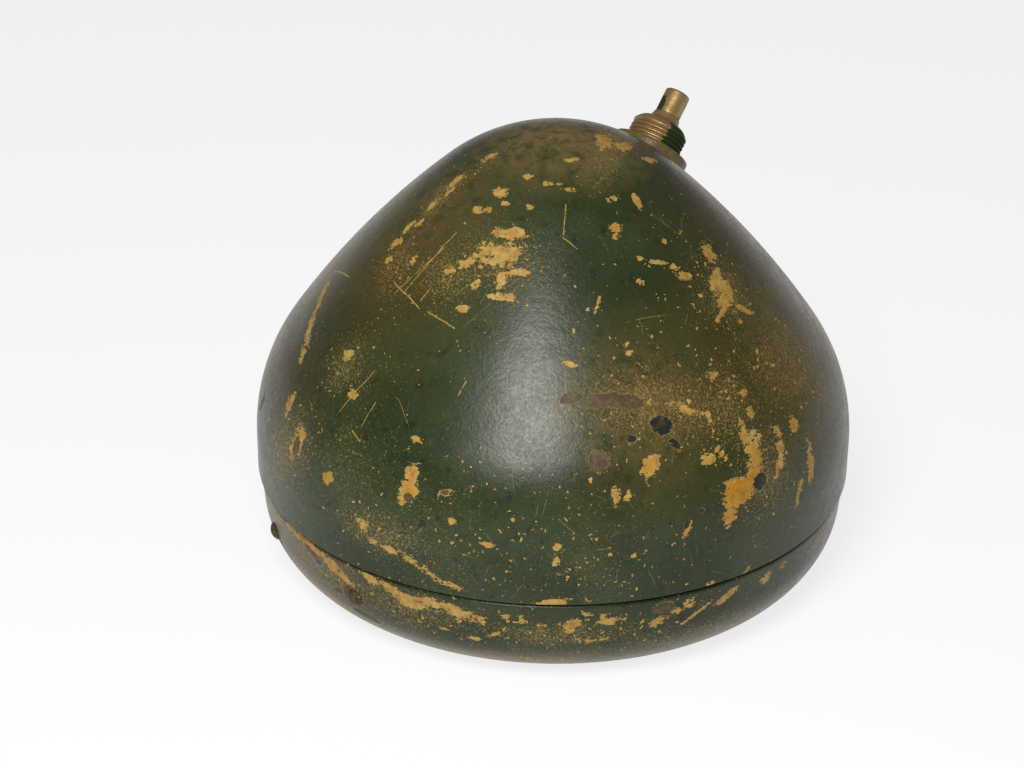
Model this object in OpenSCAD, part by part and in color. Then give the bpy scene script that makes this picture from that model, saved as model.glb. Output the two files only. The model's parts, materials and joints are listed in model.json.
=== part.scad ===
// Round sheet-metal canteen: a domed shell over a shallow base pan, with a
// screwed brass filler plug and drinking stem standing out of its shoulder.
// Millimetres, +Z up the dome's axis, origin at the middle of the foot ring's
// resting plane. The neck leans out towards +Y.

/* [Body] */
// Outer radius of the shell at its straight skirt
body_radius = 100; // [80:1:125]
// Thickness of the pressed sheet
sheet = 1.2; // [0.8:0.1:2]
// Straight part of the skirt above the seam
skirt_height = 11.5; // [5:0.5:20]
// Side-view radius of the shoulder arc
shoulder_radius = 60; // [40:1:80]
// Slope at which the shoulder arc hands over to the flatter flank arc
shoulder_turn = 34.5; // [25:0.5:42]
// Side-view radius of the flank arc
flank_radius = 300; // [150:5:400]
// Slope at which the flank arc hands over to the round crown
crown_start = 49; // [40:0.5:60]

/* [Base pan] */
// Height of the seam above the resting plane
pan_depth = 34.3; // [28:0.1:45]
// How far the shell's edge stands out past the pan
overhang = 1; // [0.5:0.1:2]
// Inward lean of the pan's wall
pan_draft = 4; // [0:0.5:8]
// Radius of the pan's bottom corner
pan_corner = 25.5; // [18:0.5:28]
// Height of the dark gap between the shell's edge and the pan's shoulder
seam_gap = 0.9; // [0.4:0.1:2]
// Radial room for solder between the pan's neck and the shell's skirt
solder_room = 1.4; // [0.8:0.1:2.5]
// How far the pan's neck reaches up inside the skirt
neck_reach = 9; // [4:0.5:14]
// Width of the flat foot ring
foot_width = 9; // [5:0.5:14]
// Rise of the pressed panel inside the foot ring
panel_rise = 3; // [1:0.5:6]

/* [Hoop and rivets] */
// Thickness of the stiffening hoop and of its splice plate
hoop_sheet = 1; // [0.6:0.1:2]
// Depth below the seam of the hoop's upper edge
hoop_drop = 4.5; // [3:0.5:8]
// Depth of the rivets below the seam
rivet_drop = 13.7; // [10:0.1:20]
// Direction of the first rivet, measured about Z from +X
rivet_angle = -91.5; // [-180:0.5:180]
// Angle between the two rivets
rivet_pitch = 30; // [15:1:60]
// Radius of the rivets' shanks
rivet_shank = 1.5; // [1:0.1:2.5]
// Radius of the rivets' heads
rivet_head = 3; // [2:0.1:4]
// Height of the rivets' heads
rivet_rise = 1.5; // [0.8:0.1:2]

/* [Neck] */
// Rise of the neck's axis above level; the neck stands square to the shell
neck_rise = 46.4; // [38:0.1:60]
// How far the boss's round flange stands out past its tube
flange_width = 1.3; // [0.8:0.1:4]
// Height of the flange's face above the shell, on the neck's axis
flange_height = 3; // [2:0.1:5]
// Wall of the boss's tube
boss_wall = 2.4; // [1.5:0.1:4]
// Thickness of the gasket under the flange
gasket = 0.6; // [0.4:0.1:1.5]

/* [Plug and stem] */
// Outer radius of the plug's thread
thread_radius = 9.7; // [8:0.1:12]
// Rise of the thread in one turn
thread_pitch = 1.5; // [1:0.25:2.5]
// Number of ridges on the plug
thread_ridges = 9; // [6:1:12]
// Thread standing out of the boss as it rests
thread_shown = 6.9; // [1:0.1:10]
// Turns that screw the plug home from rest
turns_in = 4; // [1:0.5:6]
// Height of the plug's rounded shoulder
shoulder_height = 4.7; // [3:0.1:8]
// Outer radius of the drinking stem
stem_radius = 4.35; // [3:0.05:6]
// Wall of the drinking stem
stem_wall = 1.75; // [1:0.05:2.2]
// Step in the stem that seats on its collar
stem_step = 0.5; // [0.2:0.05:0.8]
// Length of the stem above the plug's shoulder
stem_length = 9.5; // [6:0.5:20]
// Thickness of the leather washer on the plug's nose
washer = 1.8; // [1:0.1:3]
// Running clearance of the thread's crests in the boss
thread_play = 0.1; // [0.05:0.01:0.1]

/* [Hidden] */
$fn = 96;
// Solder film between fixed pieces, and room round bolts and rivets
film = 0.05;
play = 0.15;

// Shell arcs: centres of the shoulder, flank and crown in side view
c1 = [body_radius - shoulder_radius, skirt_height];
b1 = c1 + shoulder_radius * [cos(shoulder_turn), sin(shoulder_turn)];
c2 = b1 - flank_radius * [cos(shoulder_turn), sin(shoulder_turn)];
b2 = c2 + flank_radius * [cos(crown_start), sin(crown_start)];
crown_arc = b2[0] / cos(crown_start);
c3 = [0, b2[1] - crown_arc * sin(crown_start)];

// Pan: top radius, corner centre and the foot ring
pan_radius = body_radius - overhang;
corner_z = pan_corner - pan_depth;
tangent_z = corner_z - pan_corner * sin(pan_draft);
corner_r = pan_radius + tangent_z * tan(pan_draft) - pan_corner * cos(pan_draft);
foot_inner = corner_r - foot_width;
panel_run = 2 * panel_rise;
neck_outer = body_radius - sheet - solder_room;
lip_round = pan_radius - neck_outer;

// Rivets: where they stand, on the pan's corner arc or on its wall above that
on_corner = rivet_drop > -tangent_z;
rivet_dip = on_corner ? asin((rivet_drop + corner_z) / pan_corner) : pan_draft;
rivet_spot = on_corner
    ? [corner_r, corner_z] + pan_corner * [cos(rivet_dip), -sin(rivet_dip)]
    : [pan_radius - rivet_drop * tan(pan_draft), -rivet_drop];
hoop_dip = rivet_dip + 17;
splice_far = sheet + 2 * hoop_sheet + 2 * film;
burr_radius = rivet_shank + 2;
burr_near = splice_far + burr_radius * burr_radius / (2 * (pan_corner - splice_far)) + 0.15;
burr_far = burr_near + 0.8;

// Neck: the point of the shell that its axis passes through
neck_point = neck_rise <= crown_start ? c2 + flank_radius * [cos(neck_rise), sin(neck_rise)]
                                      : c3 + crown_arc * [cos(neck_rise), sin(neck_rise)];
bore_radius = thread_radius + thread_play;
tube_radius = bore_radius + boss_wall;
flange_radius = tube_radius + flange_width;
thread_depth = 0.6134 * thread_pitch;
thread_length = thread_ridges * thread_pitch;
collar_top = flange_height + thread_shown;
thread_foot = collar_top - 0.4 - thread_length;
groove_radius = thread_radius - 3.2;
lip_radius = groove_radius + 1.1;
washer_top = thread_foot - play;
washer_foot = washer_top - washer;
lip_top = washer_foot - play;
lip_thick = 0.8;
plug_foot = lip_top - lip_thick;
travel_in = turns_in * thread_pitch;
ledge_top = washer_foot - travel_in - 0.35;
ledge_radius = lip_radius + 0.4;
boss_foot = ledge_top - 2;
ring_foot = -sheet - 4.4;
nut_height = 3.6;
nut_radius = (tube_radius + 3) / cos(30);
spigot_radius = stem_radius - stem_step;
stem_hole = spigot_radius + 0.03;
stem_foot = collar_top + shoulder_height;
collar_ring = 0.8;
stem_seat = stem_foot + collar_ring + film;

// Which sub-part to draw

// Points of an arc, from one angle to another
function arc(c, r, from, to, steps) =
    [for (i = [0:steps]) let (a = from + (to - from) * i / steps) c + r * [cos(a), sin(a)]];

// Side view of the shell's surface, moved outwards by off, from skirt to crown
function dome_line(off) = concat(
    arc(c1, shoulder_radius + off, 0, shoulder_turn, 12),
    [for (p = arc(c2, flank_radius + off, shoulder_turn, crown_start, 10)) p],
    [for (i = [1:13]) let (a = crown_start + (90 - crown_start) * i / 14)
        c3 + (crown_arc + off) * [cos(a), sin(a)]],
    [[0, c3[1] + crown_arc + off]]);

// Everything inside the shell's surface, moved outwards by off
module dome_solid(off) {
    translate([0, 0, pan_depth]) rotate_extrude()
        polygon(concat([[0, 0], [body_radius + off, 0]], dome_line(off)));
}

// Side view of the pan's wall and corner, moved inwards by off, from top to foot
function wall_point(drop, off) =
    [pan_radius - drop * tan(pan_draft) - off * cos(pan_draft), -drop + off * sin(pan_draft)];
function corner_line(off, from, to, steps) = arc([corner_r, corner_z], pan_corner - off,
                                                 -from, -to, steps);

// Places its children on the neck's axis, +Z outwards, at the shell's surface
module at_neck() {
    translate([0, neck_point[0], pan_depth + neck_point[1]])
        rotate([neck_rise - 90, 0, 0]) children();
}

// Places its children at each rivet, +Z square out of the pan's wall
module at_rivets() {
    for (i = [0, 1]) rotate([0, 0, rivet_angle - i * rivet_pitch])
        translate([rivet_spot[0], 0, pan_depth + rivet_spot[1]])
            rotate([0, 90 + rivet_dip, 0]) children();
}

// Flat ring between two radii and two heights
module ring(inner, outer, low, high) {
    translate([0, 0, low]) difference() {
        cylinder(r = outer, h = high - low);
        translate([0, 0, -1]) cylinder(r = inner, h = high - low + 2);
    }
}

// Domed shell with its straight skirt and the neck's hole
module shell() {
    inner = dome_line(-sheet);
    last = len(inner) - 1;
    color("darkolivegreen") difference() {
        translate([0, 0, pan_depth]) rotate_extrude() polygon(concat(
            [[body_radius - sheet, 0.3], [body_radius - sheet + 0.3, 0],
             [body_radius - 0.3, 0], [body_radius, 0.3]],
            dome_line(0),
            [for (i = [0:last]) inner[last - i]]));
        at_neck() translate([0, 0, -12]) cylinder(r = tube_radius + play, h = 24);
    }
}

// Shallow pan: necked lip, leaning wall, round corner, foot ring and raised panel
module base_pan() {
    lip = [neck_outer, -seam_gap - lip_round];
    outer = concat(
        [[neck_outer, neck_reach - 0.4]],
        arc(lip, lip_round, 90, 4, 6),
        corner_line(0, pan_draft, 90, 14),
        [[foot_inner, -pan_depth], [foot_inner - panel_run, -pan_depth + panel_rise],
         [0, -pan_depth + panel_rise]]);
    inner = concat(
        [[0, -pan_depth + panel_rise + sheet],
         [foot_inner - panel_run + 0.5, -pan_depth + panel_rise + sheet],
         [foot_inner + 0.5, -pan_depth + sheet]],
        [for (i = [0:14]) corner_line(sheet, 90, pan_draft, 14)[i]],
        [wall_point(seam_gap + lip_round + 0.6, sheet),
         [neck_outer - sheet, -seam_gap - 0.4],
         [neck_outer - sheet, neck_reach], [neck_outer - 0.4, neck_reach]]);
    color("olivedrab") difference() {
        translate([0, 0, pan_depth]) rotate_extrude() polygon(concat(outer, inner));
        at_rivets() translate([0, 0, -4]) cylinder(r = rivet_shank + play, h = 8);
    }
}

// Solder and putty that fill the seam behind the shell's edge
module seam_seal() {
    color("black") translate([0, 0, pan_depth])
        ring(neck_outer + film, body_radius - sheet - film, 0.7, neck_reach - 1);
}

// Side view of one layer behind the pan's wall, as deep as the hoop
function layer(near, far) = concat(
    [wall_point(hoop_drop, near)], corner_line(near, pan_draft, hoop_dip, 8),
    [for (i = [0:8]) corner_line(far, hoop_dip, pan_draft, 8)[i]],
    [wall_point(hoop_drop, far)]);

// Stiffening hoop inside the pan, its ends meeting between the rivets
module inner_hoop() {
    near = sheet + film;
    color("gray") difference() {
        translate([0, 0, pan_depth]) rotate([0, 0, rivet_angle - rivet_pitch / 2 + 1])
            rotate_extrude(angle = 358) polygon(layer(near, near + hoop_sheet));
        at_rivets() translate([0, 0, -8]) cylinder(r = rivet_shank + play, h = 12);
    }
}

// Plate that joins the hoop's two ends
module hoop_splice() {
    near = sheet + hoop_sheet + 2 * film;
    span = rivet_pitch + 12;
    color("dimgray") difference() {
        translate([0, 0, pan_depth]) rotate([0, 0, rivet_angle - rivet_pitch / 2 - span / 2])
            rotate_extrude(angle = span) polygon(layer(near, near + hoop_sheet));
        at_rivets() translate([0, 0, -8]) cylinder(r = rivet_shank + play, h = 12);
    }
}

// Domed rivets with flat inner heads
module hoop_rivets() {
    cap = (rivet_head * rivet_head + rivet_rise * rivet_rise) / (2 * rivet_rise);
    half = asin(rivet_head / cap);
    color("saddlebrown") at_rivets() rotate_extrude() polygon(concat(
        [[0, -burr_far - 1.1], [rivet_shank + 0.8, -burr_far - 1.1],
         [rivet_shank + 0.8, -burr_far - film], [rivet_shank, -burr_far - film],
         [rivet_shank, 0.1], [rivet_head, 0.1]],
        [for (i = [1:8]) let (a = half * (1 - i / 8))
            [cap * sin(a), 0.1 + rivet_rise - cap * (1 - cos(a))]]));
}

// Washers under the rivets' inner heads
module rivet_burrs() {
    color("silver") at_rivets()
        ring(rivet_shank + film, burr_radius, -burr_far, -burr_near);
}

// Flanged boss through the shell, bored for the plug, with a ledge at its foot
module neck_boss() {
    color("darkolivegreen") {
        difference() {
            at_neck() rotate_extrude() polygon([
                [bore_radius + 1, -4], [flange_radius, -4],
                [flange_radius, flange_height - 0.9], [flange_radius - 0.3, flange_height - 0.3],
                [flange_radius - 0.9, flange_height], [bore_radius + 1, flange_height]]);
            dome_solid(gasket + film);
        }
        at_neck() rotate_extrude() polygon([
            [ledge_radius, boss_foot], [tube_radius - 0.4, boss_foot],
            [tube_radius, boss_foot + 0.4], [tube_radius, 1.5], [tube_radius - 0.6, flange_height],
            [bore_radius + 0.5, flange_height], [bore_radius, flange_height - 0.5],
            [bore_radius, ledge_top], [ledge_radius, ledge_top]]);
    }
}

// Gasket that follows the shell under the boss's flange
module boss_gasket() {
    color("black") intersection() {
        difference() {
            at_neck() ring(tube_radius + play, flange_radius - 0.2, -4, 3);
            dome_solid(film);
        }
        dome_solid(gasket);
    }
}

// Ring that spreads the nut's load on the inside of the shell
module backing_ring() {
    color("gray") intersection() {
        at_neck() ring(tube_radius + play, tube_radius + 4, ring_foot, 2);
        dome_solid(-sheet - film);
    }
}

// Six-sided nut on the boss's tube inside the shell
module boss_nut() {
    color("dimgray") at_neck() translate([0, 0, ring_foot - film - nut_height]) difference() {
        intersection() {
            cylinder(r = nut_radius, h = nut_height, $fn = 6);
            cylinder(r1 = nut_radius - 1, r2 = nut_radius + 3, h = nut_height);
        }
        translate([0, 0, -1]) cylinder(r = tube_radius + film, h = nut_height + 2);
    }
}

// Leather washer held in the groove of the plug's nose
module plug_washer() {
    color("saddlebrown") at_neck()
        ring(groove_radius + play, thread_radius - 0.4, washer_foot, washer_top);
}

// Side view of the thread's ridges, from its foot to its head
function ridge_line() = [for (i = [0:thread_ridges - 1]) each
    let (h = thread_foot + i * thread_pitch, root = thread_radius - thread_depth)
    [[root, h + 0.02], [root, h + 0.25 * thread_pitch],
     [thread_radius, h + 0.5625 * thread_pitch], [thread_radius, h + 0.6875 * thread_pitch]]];

// Brass plug: grooved nose, thread and rounded shoulder
module filler_plug() {
    top = stem_radius + 0.6;
    color("goldenrod") at_neck() rotate_extrude() polygon(concat(
        [[stem_hole, plug_foot], [lip_radius - 0.2, plug_foot], [lip_radius, plug_foot + 0.2],
         [lip_radius, lip_top], [groove_radius, lip_top], [groove_radius, thread_foot]],
        ridge_line(),
        [[thread_radius - thread_depth, collar_top - 0.4], [thread_radius, collar_top - 0.2]],
        [for (i = [0:10]) let (a = 90 * i / 10)
            [top + (thread_radius - top) * cos(a), collar_top + shoulder_height * sin(a)]],
        [[stem_hole, stem_foot]]));
}

// Small ring brazed round the foot of the stem
module stem_collar() {
    color("peru") at_neck() rotate_extrude() polygon([
        [stem_hole, stem_foot + film], [stem_radius + 0.6, stem_foot + film],
        [stem_radius + 0.75, stem_foot + 0.3], [stem_radius + 0.6, stem_foot + 0.65],
        [stem_radius + 0.3, stem_foot + collar_ring], [stem_hole, stem_foot + collar_ring]]);
}

// Brass drinking stem, a tube with a spigot through the plug and a rounded mouth
module drinking_stem() {
    bore = stem_radius - stem_wall;
    tip = stem_foot + stem_length;
    color("gold") at_neck() rotate_extrude() polygon(concat(
        [[bore, plug_foot + 0.1], [spigot_radius, plug_foot + 0.1],
         [spigot_radius, stem_seat], [stem_radius, stem_seat]],
        [for (i = [0:6]) let (a = 90 * i / 6)
            [stem_radius - 1.2 + 1.2 * cos(a), tip - 1.2 + 1.2 * sin(a)]],
        [[bore + 0.3, tip], [bore, tip - 0.3]]));
}

shell();
base_pan();
seam_seal();
inner_hoop();
hoop_splice();
hoop_rivets();
rivet_burrs();
neck_boss();
boss_gasket();
backing_ring();
boss_nut();
plug_washer();
filler_plug();
stem_collar();
drinking_stem();
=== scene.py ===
"""Builds the looks of a round pressed-metal canteen round its fixed frame.

The canteen is a domed shell over a shallow base pan, with a brass filler plug and
drinking stem that lean out of the shell's far shoulder. Lengths are in metres. The frame's
origin is in the middle of the resting plane, +Z is the dome's axis, and the neck leans
towards +Y. "Around" is an angle about +Z from +X; "up the neck" is a distance along the
neck's axis from the point where that axis leaves the shell.
"""
import json
import math

import bpy
import numpy as np
from bpy.props import FloatProperty, FloatVectorProperty, PointerProperty
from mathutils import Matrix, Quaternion, Vector


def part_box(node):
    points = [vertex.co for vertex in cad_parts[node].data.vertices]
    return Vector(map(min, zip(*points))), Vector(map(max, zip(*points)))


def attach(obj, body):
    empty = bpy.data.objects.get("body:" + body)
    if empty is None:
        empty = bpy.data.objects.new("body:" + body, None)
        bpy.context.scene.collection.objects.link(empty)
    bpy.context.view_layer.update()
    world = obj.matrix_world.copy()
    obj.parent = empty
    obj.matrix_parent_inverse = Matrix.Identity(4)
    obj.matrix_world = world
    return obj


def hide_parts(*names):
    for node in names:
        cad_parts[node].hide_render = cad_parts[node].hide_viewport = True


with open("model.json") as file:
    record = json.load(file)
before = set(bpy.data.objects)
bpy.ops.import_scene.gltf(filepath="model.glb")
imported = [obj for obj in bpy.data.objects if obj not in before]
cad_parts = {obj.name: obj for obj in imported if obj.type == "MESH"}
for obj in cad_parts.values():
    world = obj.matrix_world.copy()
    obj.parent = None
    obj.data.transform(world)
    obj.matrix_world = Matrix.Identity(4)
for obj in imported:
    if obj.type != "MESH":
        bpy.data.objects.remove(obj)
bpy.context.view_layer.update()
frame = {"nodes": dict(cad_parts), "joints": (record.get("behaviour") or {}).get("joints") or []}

bl_info = {
    "name": "Pressed-Metal Canteen",
    "version": (1, 0, 0),
    "blender": (4, 5, 0),
    "location": "View3D > Sidebar > Canteen",
    "description": "Builds the canteen's pieces, finishes and stage on its packed frame",
    "category": "Object",
}

BODY = "canteen_body"
MM = 0.001
SKIN_COLUMNS = 400
NECK_COLUMNS = 96
DOME_STEPS = 1200
SHARP_EDGE = math.radians(38)
WEAR = ("chip", "rust", "bare", "dust", "haze_and_sheen", "stain", "thick")
SHELL_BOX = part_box("shell")
PAN_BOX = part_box("base_pan")
JOINTS = {joint["name"]: joint for joint in frame["joints"]}
NECK_FOOT = np.array(JOINTS["plug_turn"]["pos_m"], float)
NECK_AXIS = np.array(JOINTS["plug_turn"]["axis"], float)


# ---------------------------------------------------------------------------
# Sizes and colours that a user may change


def length(name, description, default):
    """A length in metres with its own name and description."""
    return FloatProperty(name=name, description=description, default=default, min=0.0,
                         precision=5, unit="LENGTH")


def angle(name, description, degrees):
    """An angle, given here in degrees."""
    return FloatProperty(name=name, description=description, default=math.radians(degrees),
                         subtype="ANGLE", unit="ROTATION")


def colour(name, description, red, green, blue):
    """A colour given as it looks on a screen, 0 to 255, and kept as linear light."""
    screen = np.array([red, green, blue]) / 255.0
    linear = np.where(screen <= 0.04045, screen / 12.92, ((screen + 0.055) / 1.055) ** 2.4)
    return FloatVectorProperty(name=name, description=description, subtype="COLOR", size=3,
                               min=0.0, max=1.0, default=[float(x) for x in linear])


class CanteenShellSizes(bpy.types.PropertyGroup):
    """Sizes of the domed shell."""
    radius: length("Radius", "Outer radius at the straight skirt", SHELL_BOX[1].x)
    seam_height: length("Seam height", "Height of the skirt's lower edge", SHELL_BOX[0].z)
    sheet: length("Sheet", "Thickness of the pressed sheet", 1.2 * MM)
    skirt: length("Skirt", "Straight part above the seam", 11.5 * MM)
    shoulder: length("Shoulder radius", "Side-view radius of the shoulder", 60 * MM)
    shoulder_turn: angle("Shoulder turn", "Slope where shoulder meets flank", 34.5)
    flank: length("Flank radius", "Side-view radius of the flank", 300 * MM)
    crown_start: angle("Crown start", "Slope where flank meets crown", 49)
    neck_hole: length("Neck hole", "Radius of the hole for the boss", 12.6 * MM)


class CanteenPanSizes(bpy.types.PropertyGroup):
    """Sizes of the base pan and its rivets."""
    overhang: length("Overhang", "How far the shell stands out past the pan", 1 * MM)
    draft: angle("Draft", "Inward lean of the wall", 4)
    corner: length("Corner radius", "Radius of the bottom corner", 25.5 * MM)
    seam_gap: length("Seam gap", "Height of the dark gap under the shell", 0.9 * MM)
    lip: length("Lip radius", "Rounding of the lip under the seam", 1.6 * MM)
    neck_reach: length("Neck reach", "How far the pan reaches into the skirt", 9 * MM)
    foot: length("Foot width", "Width of the flat foot ring", 9 * MM)
    panel_rise: length("Panel rise", "Rise of the panel inside the foot", 3 * MM)
    rivet_drop: length("Rivet drop", "Depth of the rivets below the seam", 13.7 * MM)
    rivet_angle: angle("Rivet angle", "Direction of the first rivet", -91.5)
    rivet_pitch: angle("Rivet pitch", "Angle between the two rivets", 30)
    rivet_head: length("Rivet head", "Radius of the rivets' heads", 3 * MM)
    rivet_rise: length("Rivet rise", "Height of the rivets' heads", 1.5 * MM)
    rivet_shank: length("Rivet shank", "Radius of the rivets' shanks", 1.5 * MM)


class CanteenFittingSizes(bpy.types.PropertyGroup):
    """Sizes of the boss, the filler plug and the drinking stem."""
    flange: length("Flange radius", "Radius of the boss's flange", 13.5 * MM)
    flange_height: length("Flange height", "Height of the flange's face", 3 * MM)
    tube: length("Tube radius", "Outer radius of the boss's tube", 12.2 * MM)
    bore: length("Bore radius", "Radius of the boss's bore", 9.8 * MM)
    ledge: length("Ledge radius", "Hole in the ledge at the boss's foot", 8 * MM)
    ledge_depth: length("Ledge depth", "Depth of the ledge's face", 12.3 * MM)
    thread: length("Thread radius", "Radius over the thread's crests", 9.7 * MM)
    pitch: length("Pitch", "Rise of the thread in one turn", 1.5 * MM)
    thread_depth: length("Thread depth", "Depth of the worn thread", 0.7 * MM)
    thread_foot: length("Thread foot", "Depth at which the thread starts", 4 * MM)
    collar: length("Collar height", "Height of the plug's upper edge", 9.9 * MM)
    shoulder: length("Shoulder height", "Height of the rounded shoulder", 4.7 * MM)
    groove: length("Groove radius", "Radius of the washer's groove", 6.5 * MM)
    nose: length("Nose radius", "Radius of the lip under the washer", 7.6 * MM)
    nose_depth: length("Nose depth", "Depth of the plug's lower end", 6.9 * MM)
    washer: length("Washer", "Thickness of the leather washer", 1.8 * MM)
    stem: length("Stem radius", "Outer radius of the stem", 4.35 * MM)
    stem_bore: length("Stem bore", "Radius of the stem's bore", 2.6 * MM)
    spigot: length("Spigot radius", "Radius of the stem inside the plug", 3.85 * MM)
    stem_length: length("Stem length", "Length of the stem above the plug", 9.5 * MM)
    collar_ring: length("Collar ring", "Height of the ring at the stem's foot", 0.8 * MM)


class CanteenColours(bpy.types.PropertyGroup):
    """Colours of the finishes."""
    paint: colour("Paint", "Dark green top coat", 32, 43, 20)
    paint_light: colour("Faded paint", "Top coat where it has faded", 48, 58, 33)
    paint_dark: colour("Deep paint", "Top coat where it is thick", 22, 29, 10)
    stain: colour("Stain", "Brown-olive film over the green", 62, 51, 18)
    # this haze colour is a tan film of dust, and also paints brown sheen on the dome's outlines
    # and a warm reflection low on the pan; the shader's sheen is tinted with it too
    haze_and_sheen: colour("Haze", "Dust and thinned paint on the crown", 110, 92, 54)
    undercoat: colour("Undercoat", "Ochre coat under the green", 154, 116, 50)
    undercoat_pale: colour("Pale undercoat", "Feathered rims of chips", 168, 140, 74)
    scuff: colour("Scuffed paint", "Ochre that shows thinly through the green", 128, 108, 60)
    undercoat_deep: colour("Deep undercoat", "Middles of large chips", 160, 110, 14)
    rust: colour("Rust", "Brown bare patches", 78, 66, 44)
    rust_dark: colour("Dark rust", "Darker grain in the brown patches", 56, 42, 26)
    bare: colour("Bare metal", "Blue-black bare spots", 30, 34, 34)
    brass: colour("Brass", "Rubbed brass", 162, 136, 94)
    tarnish: colour("Tarnish", "Dull brown brass", 116, 88, 44)
    brass_paint: colour("Paint on brass", "Paint left on the fitting", 34, 46, 12)
    steel: colour("Steel", "Dull tinned steel inside", 150, 146, 138)
    putty: colour("Putty", "Dark filler in the seam", 26, 22, 16)
    leather: colour("Leather", "Greased leather washer", 96, 60, 34)
    fibre: colour("Fibre", "Dark fibre gasket", 40, 36, 32)


class CanteenStageSettings(bpy.types.PropertyGroup):
    """Floor, lamps and camera."""
    around: angle("View around", "Direction of the camera from the front", 38)
    above: angle("View above", "Height of the camera as an angle", 28.56)
    distance: length("Distance", "Camera to the middle of the seam", 900 * MM)
    roll: angle("Roll", "Turn of the camera about its own axis", 1)
    lens: FloatProperty(name="Lens", description="Focal length in millimetres",
                        default=92.64, min=1.0)
    shift_across: FloatProperty(name="Shift across", description="Sideways lens shift",
                                default=-0.0397)
    shift_up: FloatProperty(name="Shift up", description="Upward lens shift",
                            default=0.0646)
    key_power: FloatProperty(name="Key power", description="Power of the soft key lamp",
                             default=8.2, unit="POWER", min=0.0)
    key_size: length("Key size", "Width of the soft key lamp", 380 * MM)
    sky: FloatProperty(name="Sky", description="Strength of the room's even light",
                       default=0.19, min=0.0)
    floor: colour("Floor", "Pale studio floor", 246, 246, 246)


# ---------------------------------------------------------------------------
# Meshes


def surface(name, rows, poles=(False, False), loop=False, attributes=None, uv=None):
    """A closed mesh from a grid of points.

    rows is an array (rows, columns, 3). Columns always close round. With loop, the last
    row joins the first. A pole is a first or last row that shrinks to one point, which then
    becomes a single vertex with a fan of triangles. attributes are arrays (rows, columns)
    stored on the points, and uv is an array (rows, columns, 2).
    """
    count, across = rows.shape[:2]
    index = np.arange(count * across).reshape(count, across)
    keep = np.ones(count * across, bool)
    for pole, row in zip(poles, (0, count - 1)):
        if pole:
            keep[index[row, 1:]] = False
            index[row, :] = index[row, 0]
    body = index[:-1] if not loop else index
    above = index[1:] if not loop else np.roll(index, -1, axis=0)
    corners = np.stack([body, np.roll(body, -1, axis=1),
                        np.roll(above, -1, axis=1), above], axis=-1)
    flat = np.zeros(len(corners), bool)
    flat[0], flat[-1] = poles[0], flat[-1] or poles[1]
    quads = corners[~flat].reshape(-1, 4)
    fans = [corners[0][:, [0, 2, 3]]] if poles[0] else []
    fans += [corners[-1][:, [0, 1, 2]]] if poles[1] else []
    fans = np.concatenate(fans) if fans else np.zeros((0, 3), int)
    points = rows.reshape(-1, 3)
    middle = points[keep].mean(axis=0)
    volume = 0.0
    for faces in (quads[:, [0, 1, 2]], quads[:, [0, 2, 3]], fans):
        a, b, c = (points[faces[:, k]] - middle for k in range(3))
        volume += float(np.einsum("ij,ij->i", a, np.cross(b, c)).sum())
    if volume < 0:
        quads, fans = quads[:, ::-1], fans[:, ::-1]
    new_index = np.cumsum(keep) - 1
    return mesh_object(name, points[keep], new_index[quads], new_index[fans],
                       {key: value.reshape(-1)[keep]
                        for key, value in (attributes or {}).items()},
                       None if uv is None else uv.reshape(-1, 2)[keep])


def mesh_object(name, points, quads, triangles, attributes=None, uv=None):
    """A mesh object at the origin from points, four-sided and three-sided faces."""
    mesh = bpy.data.meshes.new(name)
    mesh.vertices.add(len(points))
    mesh.vertices.foreach_set("co", points.astype(np.float32).ravel())
    loops = np.concatenate([quads.ravel(), triangles.ravel()]).astype(np.int32)
    mesh.loops.add(len(loops))
    mesh.loops.foreach_set("vertex_index", loops)
    starts = np.concatenate([np.arange(len(quads)) * 4,
                             len(quads) * 4 + np.arange(len(triangles)) * 3])
    mesh.polygons.add(len(starts))
    mesh.polygons.foreach_set("loop_start", starts.astype(np.int32))
    mesh.update(calc_edges=True)
    if mesh.validate():
        raise RuntimeError(f"{name}: the mesh had faults")
    mesh.polygons.foreach_set("use_smooth", np.ones(len(starts), bool))
    mesh.set_sharp_from_angle(angle=SHARP_EDGE)
    for key, values in (attributes or {}).items():
        layer = mesh.attributes.new(key, "FLOAT", "POINT")
        layer.data.foreach_set("value", values.astype(np.float32))
    if uv is not None:
        layer = mesh.uv_layers.new(name="Unrolled")
        layer.data.foreach_set("uv", uv[loops].astype(np.float32).ravel())
    piece = bpy.data.objects.new(name, mesh)
    bpy.context.scene.collection.objects.link(piece)
    return piece


def joined(name, pieces):
    """One object from several meshes, whose points and faces are put one after another."""
    points, quads, triangles, start = [], [], [], 0
    for piece in pieces:
        mesh = piece.data
        co = np.empty(len(mesh.vertices) * 3, np.float32)
        mesh.vertices.foreach_get("co", co)
        total = np.empty(len(mesh.polygons), np.int32)
        mesh.polygons.foreach_get("loop_total", total)
        corner = np.empty(len(mesh.loops), np.int32)
        mesh.loops.foreach_get("vertex_index", corner)
        first = np.cumsum(total) - total
        four, three = first[total == 4], first[total == 3]
        quads.append(corner[four[:, None] + np.arange(4)] + start)
        triangles.append(corner[three[:, None] + np.arange(3)] + start)
        points.append(co.reshape(-1, 3))
        start += len(mesh.vertices)
        bpy.data.objects.remove(piece)
    return mesh_object(name, np.concatenate(points), np.concatenate(quads),
                       np.concatenate(triangles))


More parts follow.
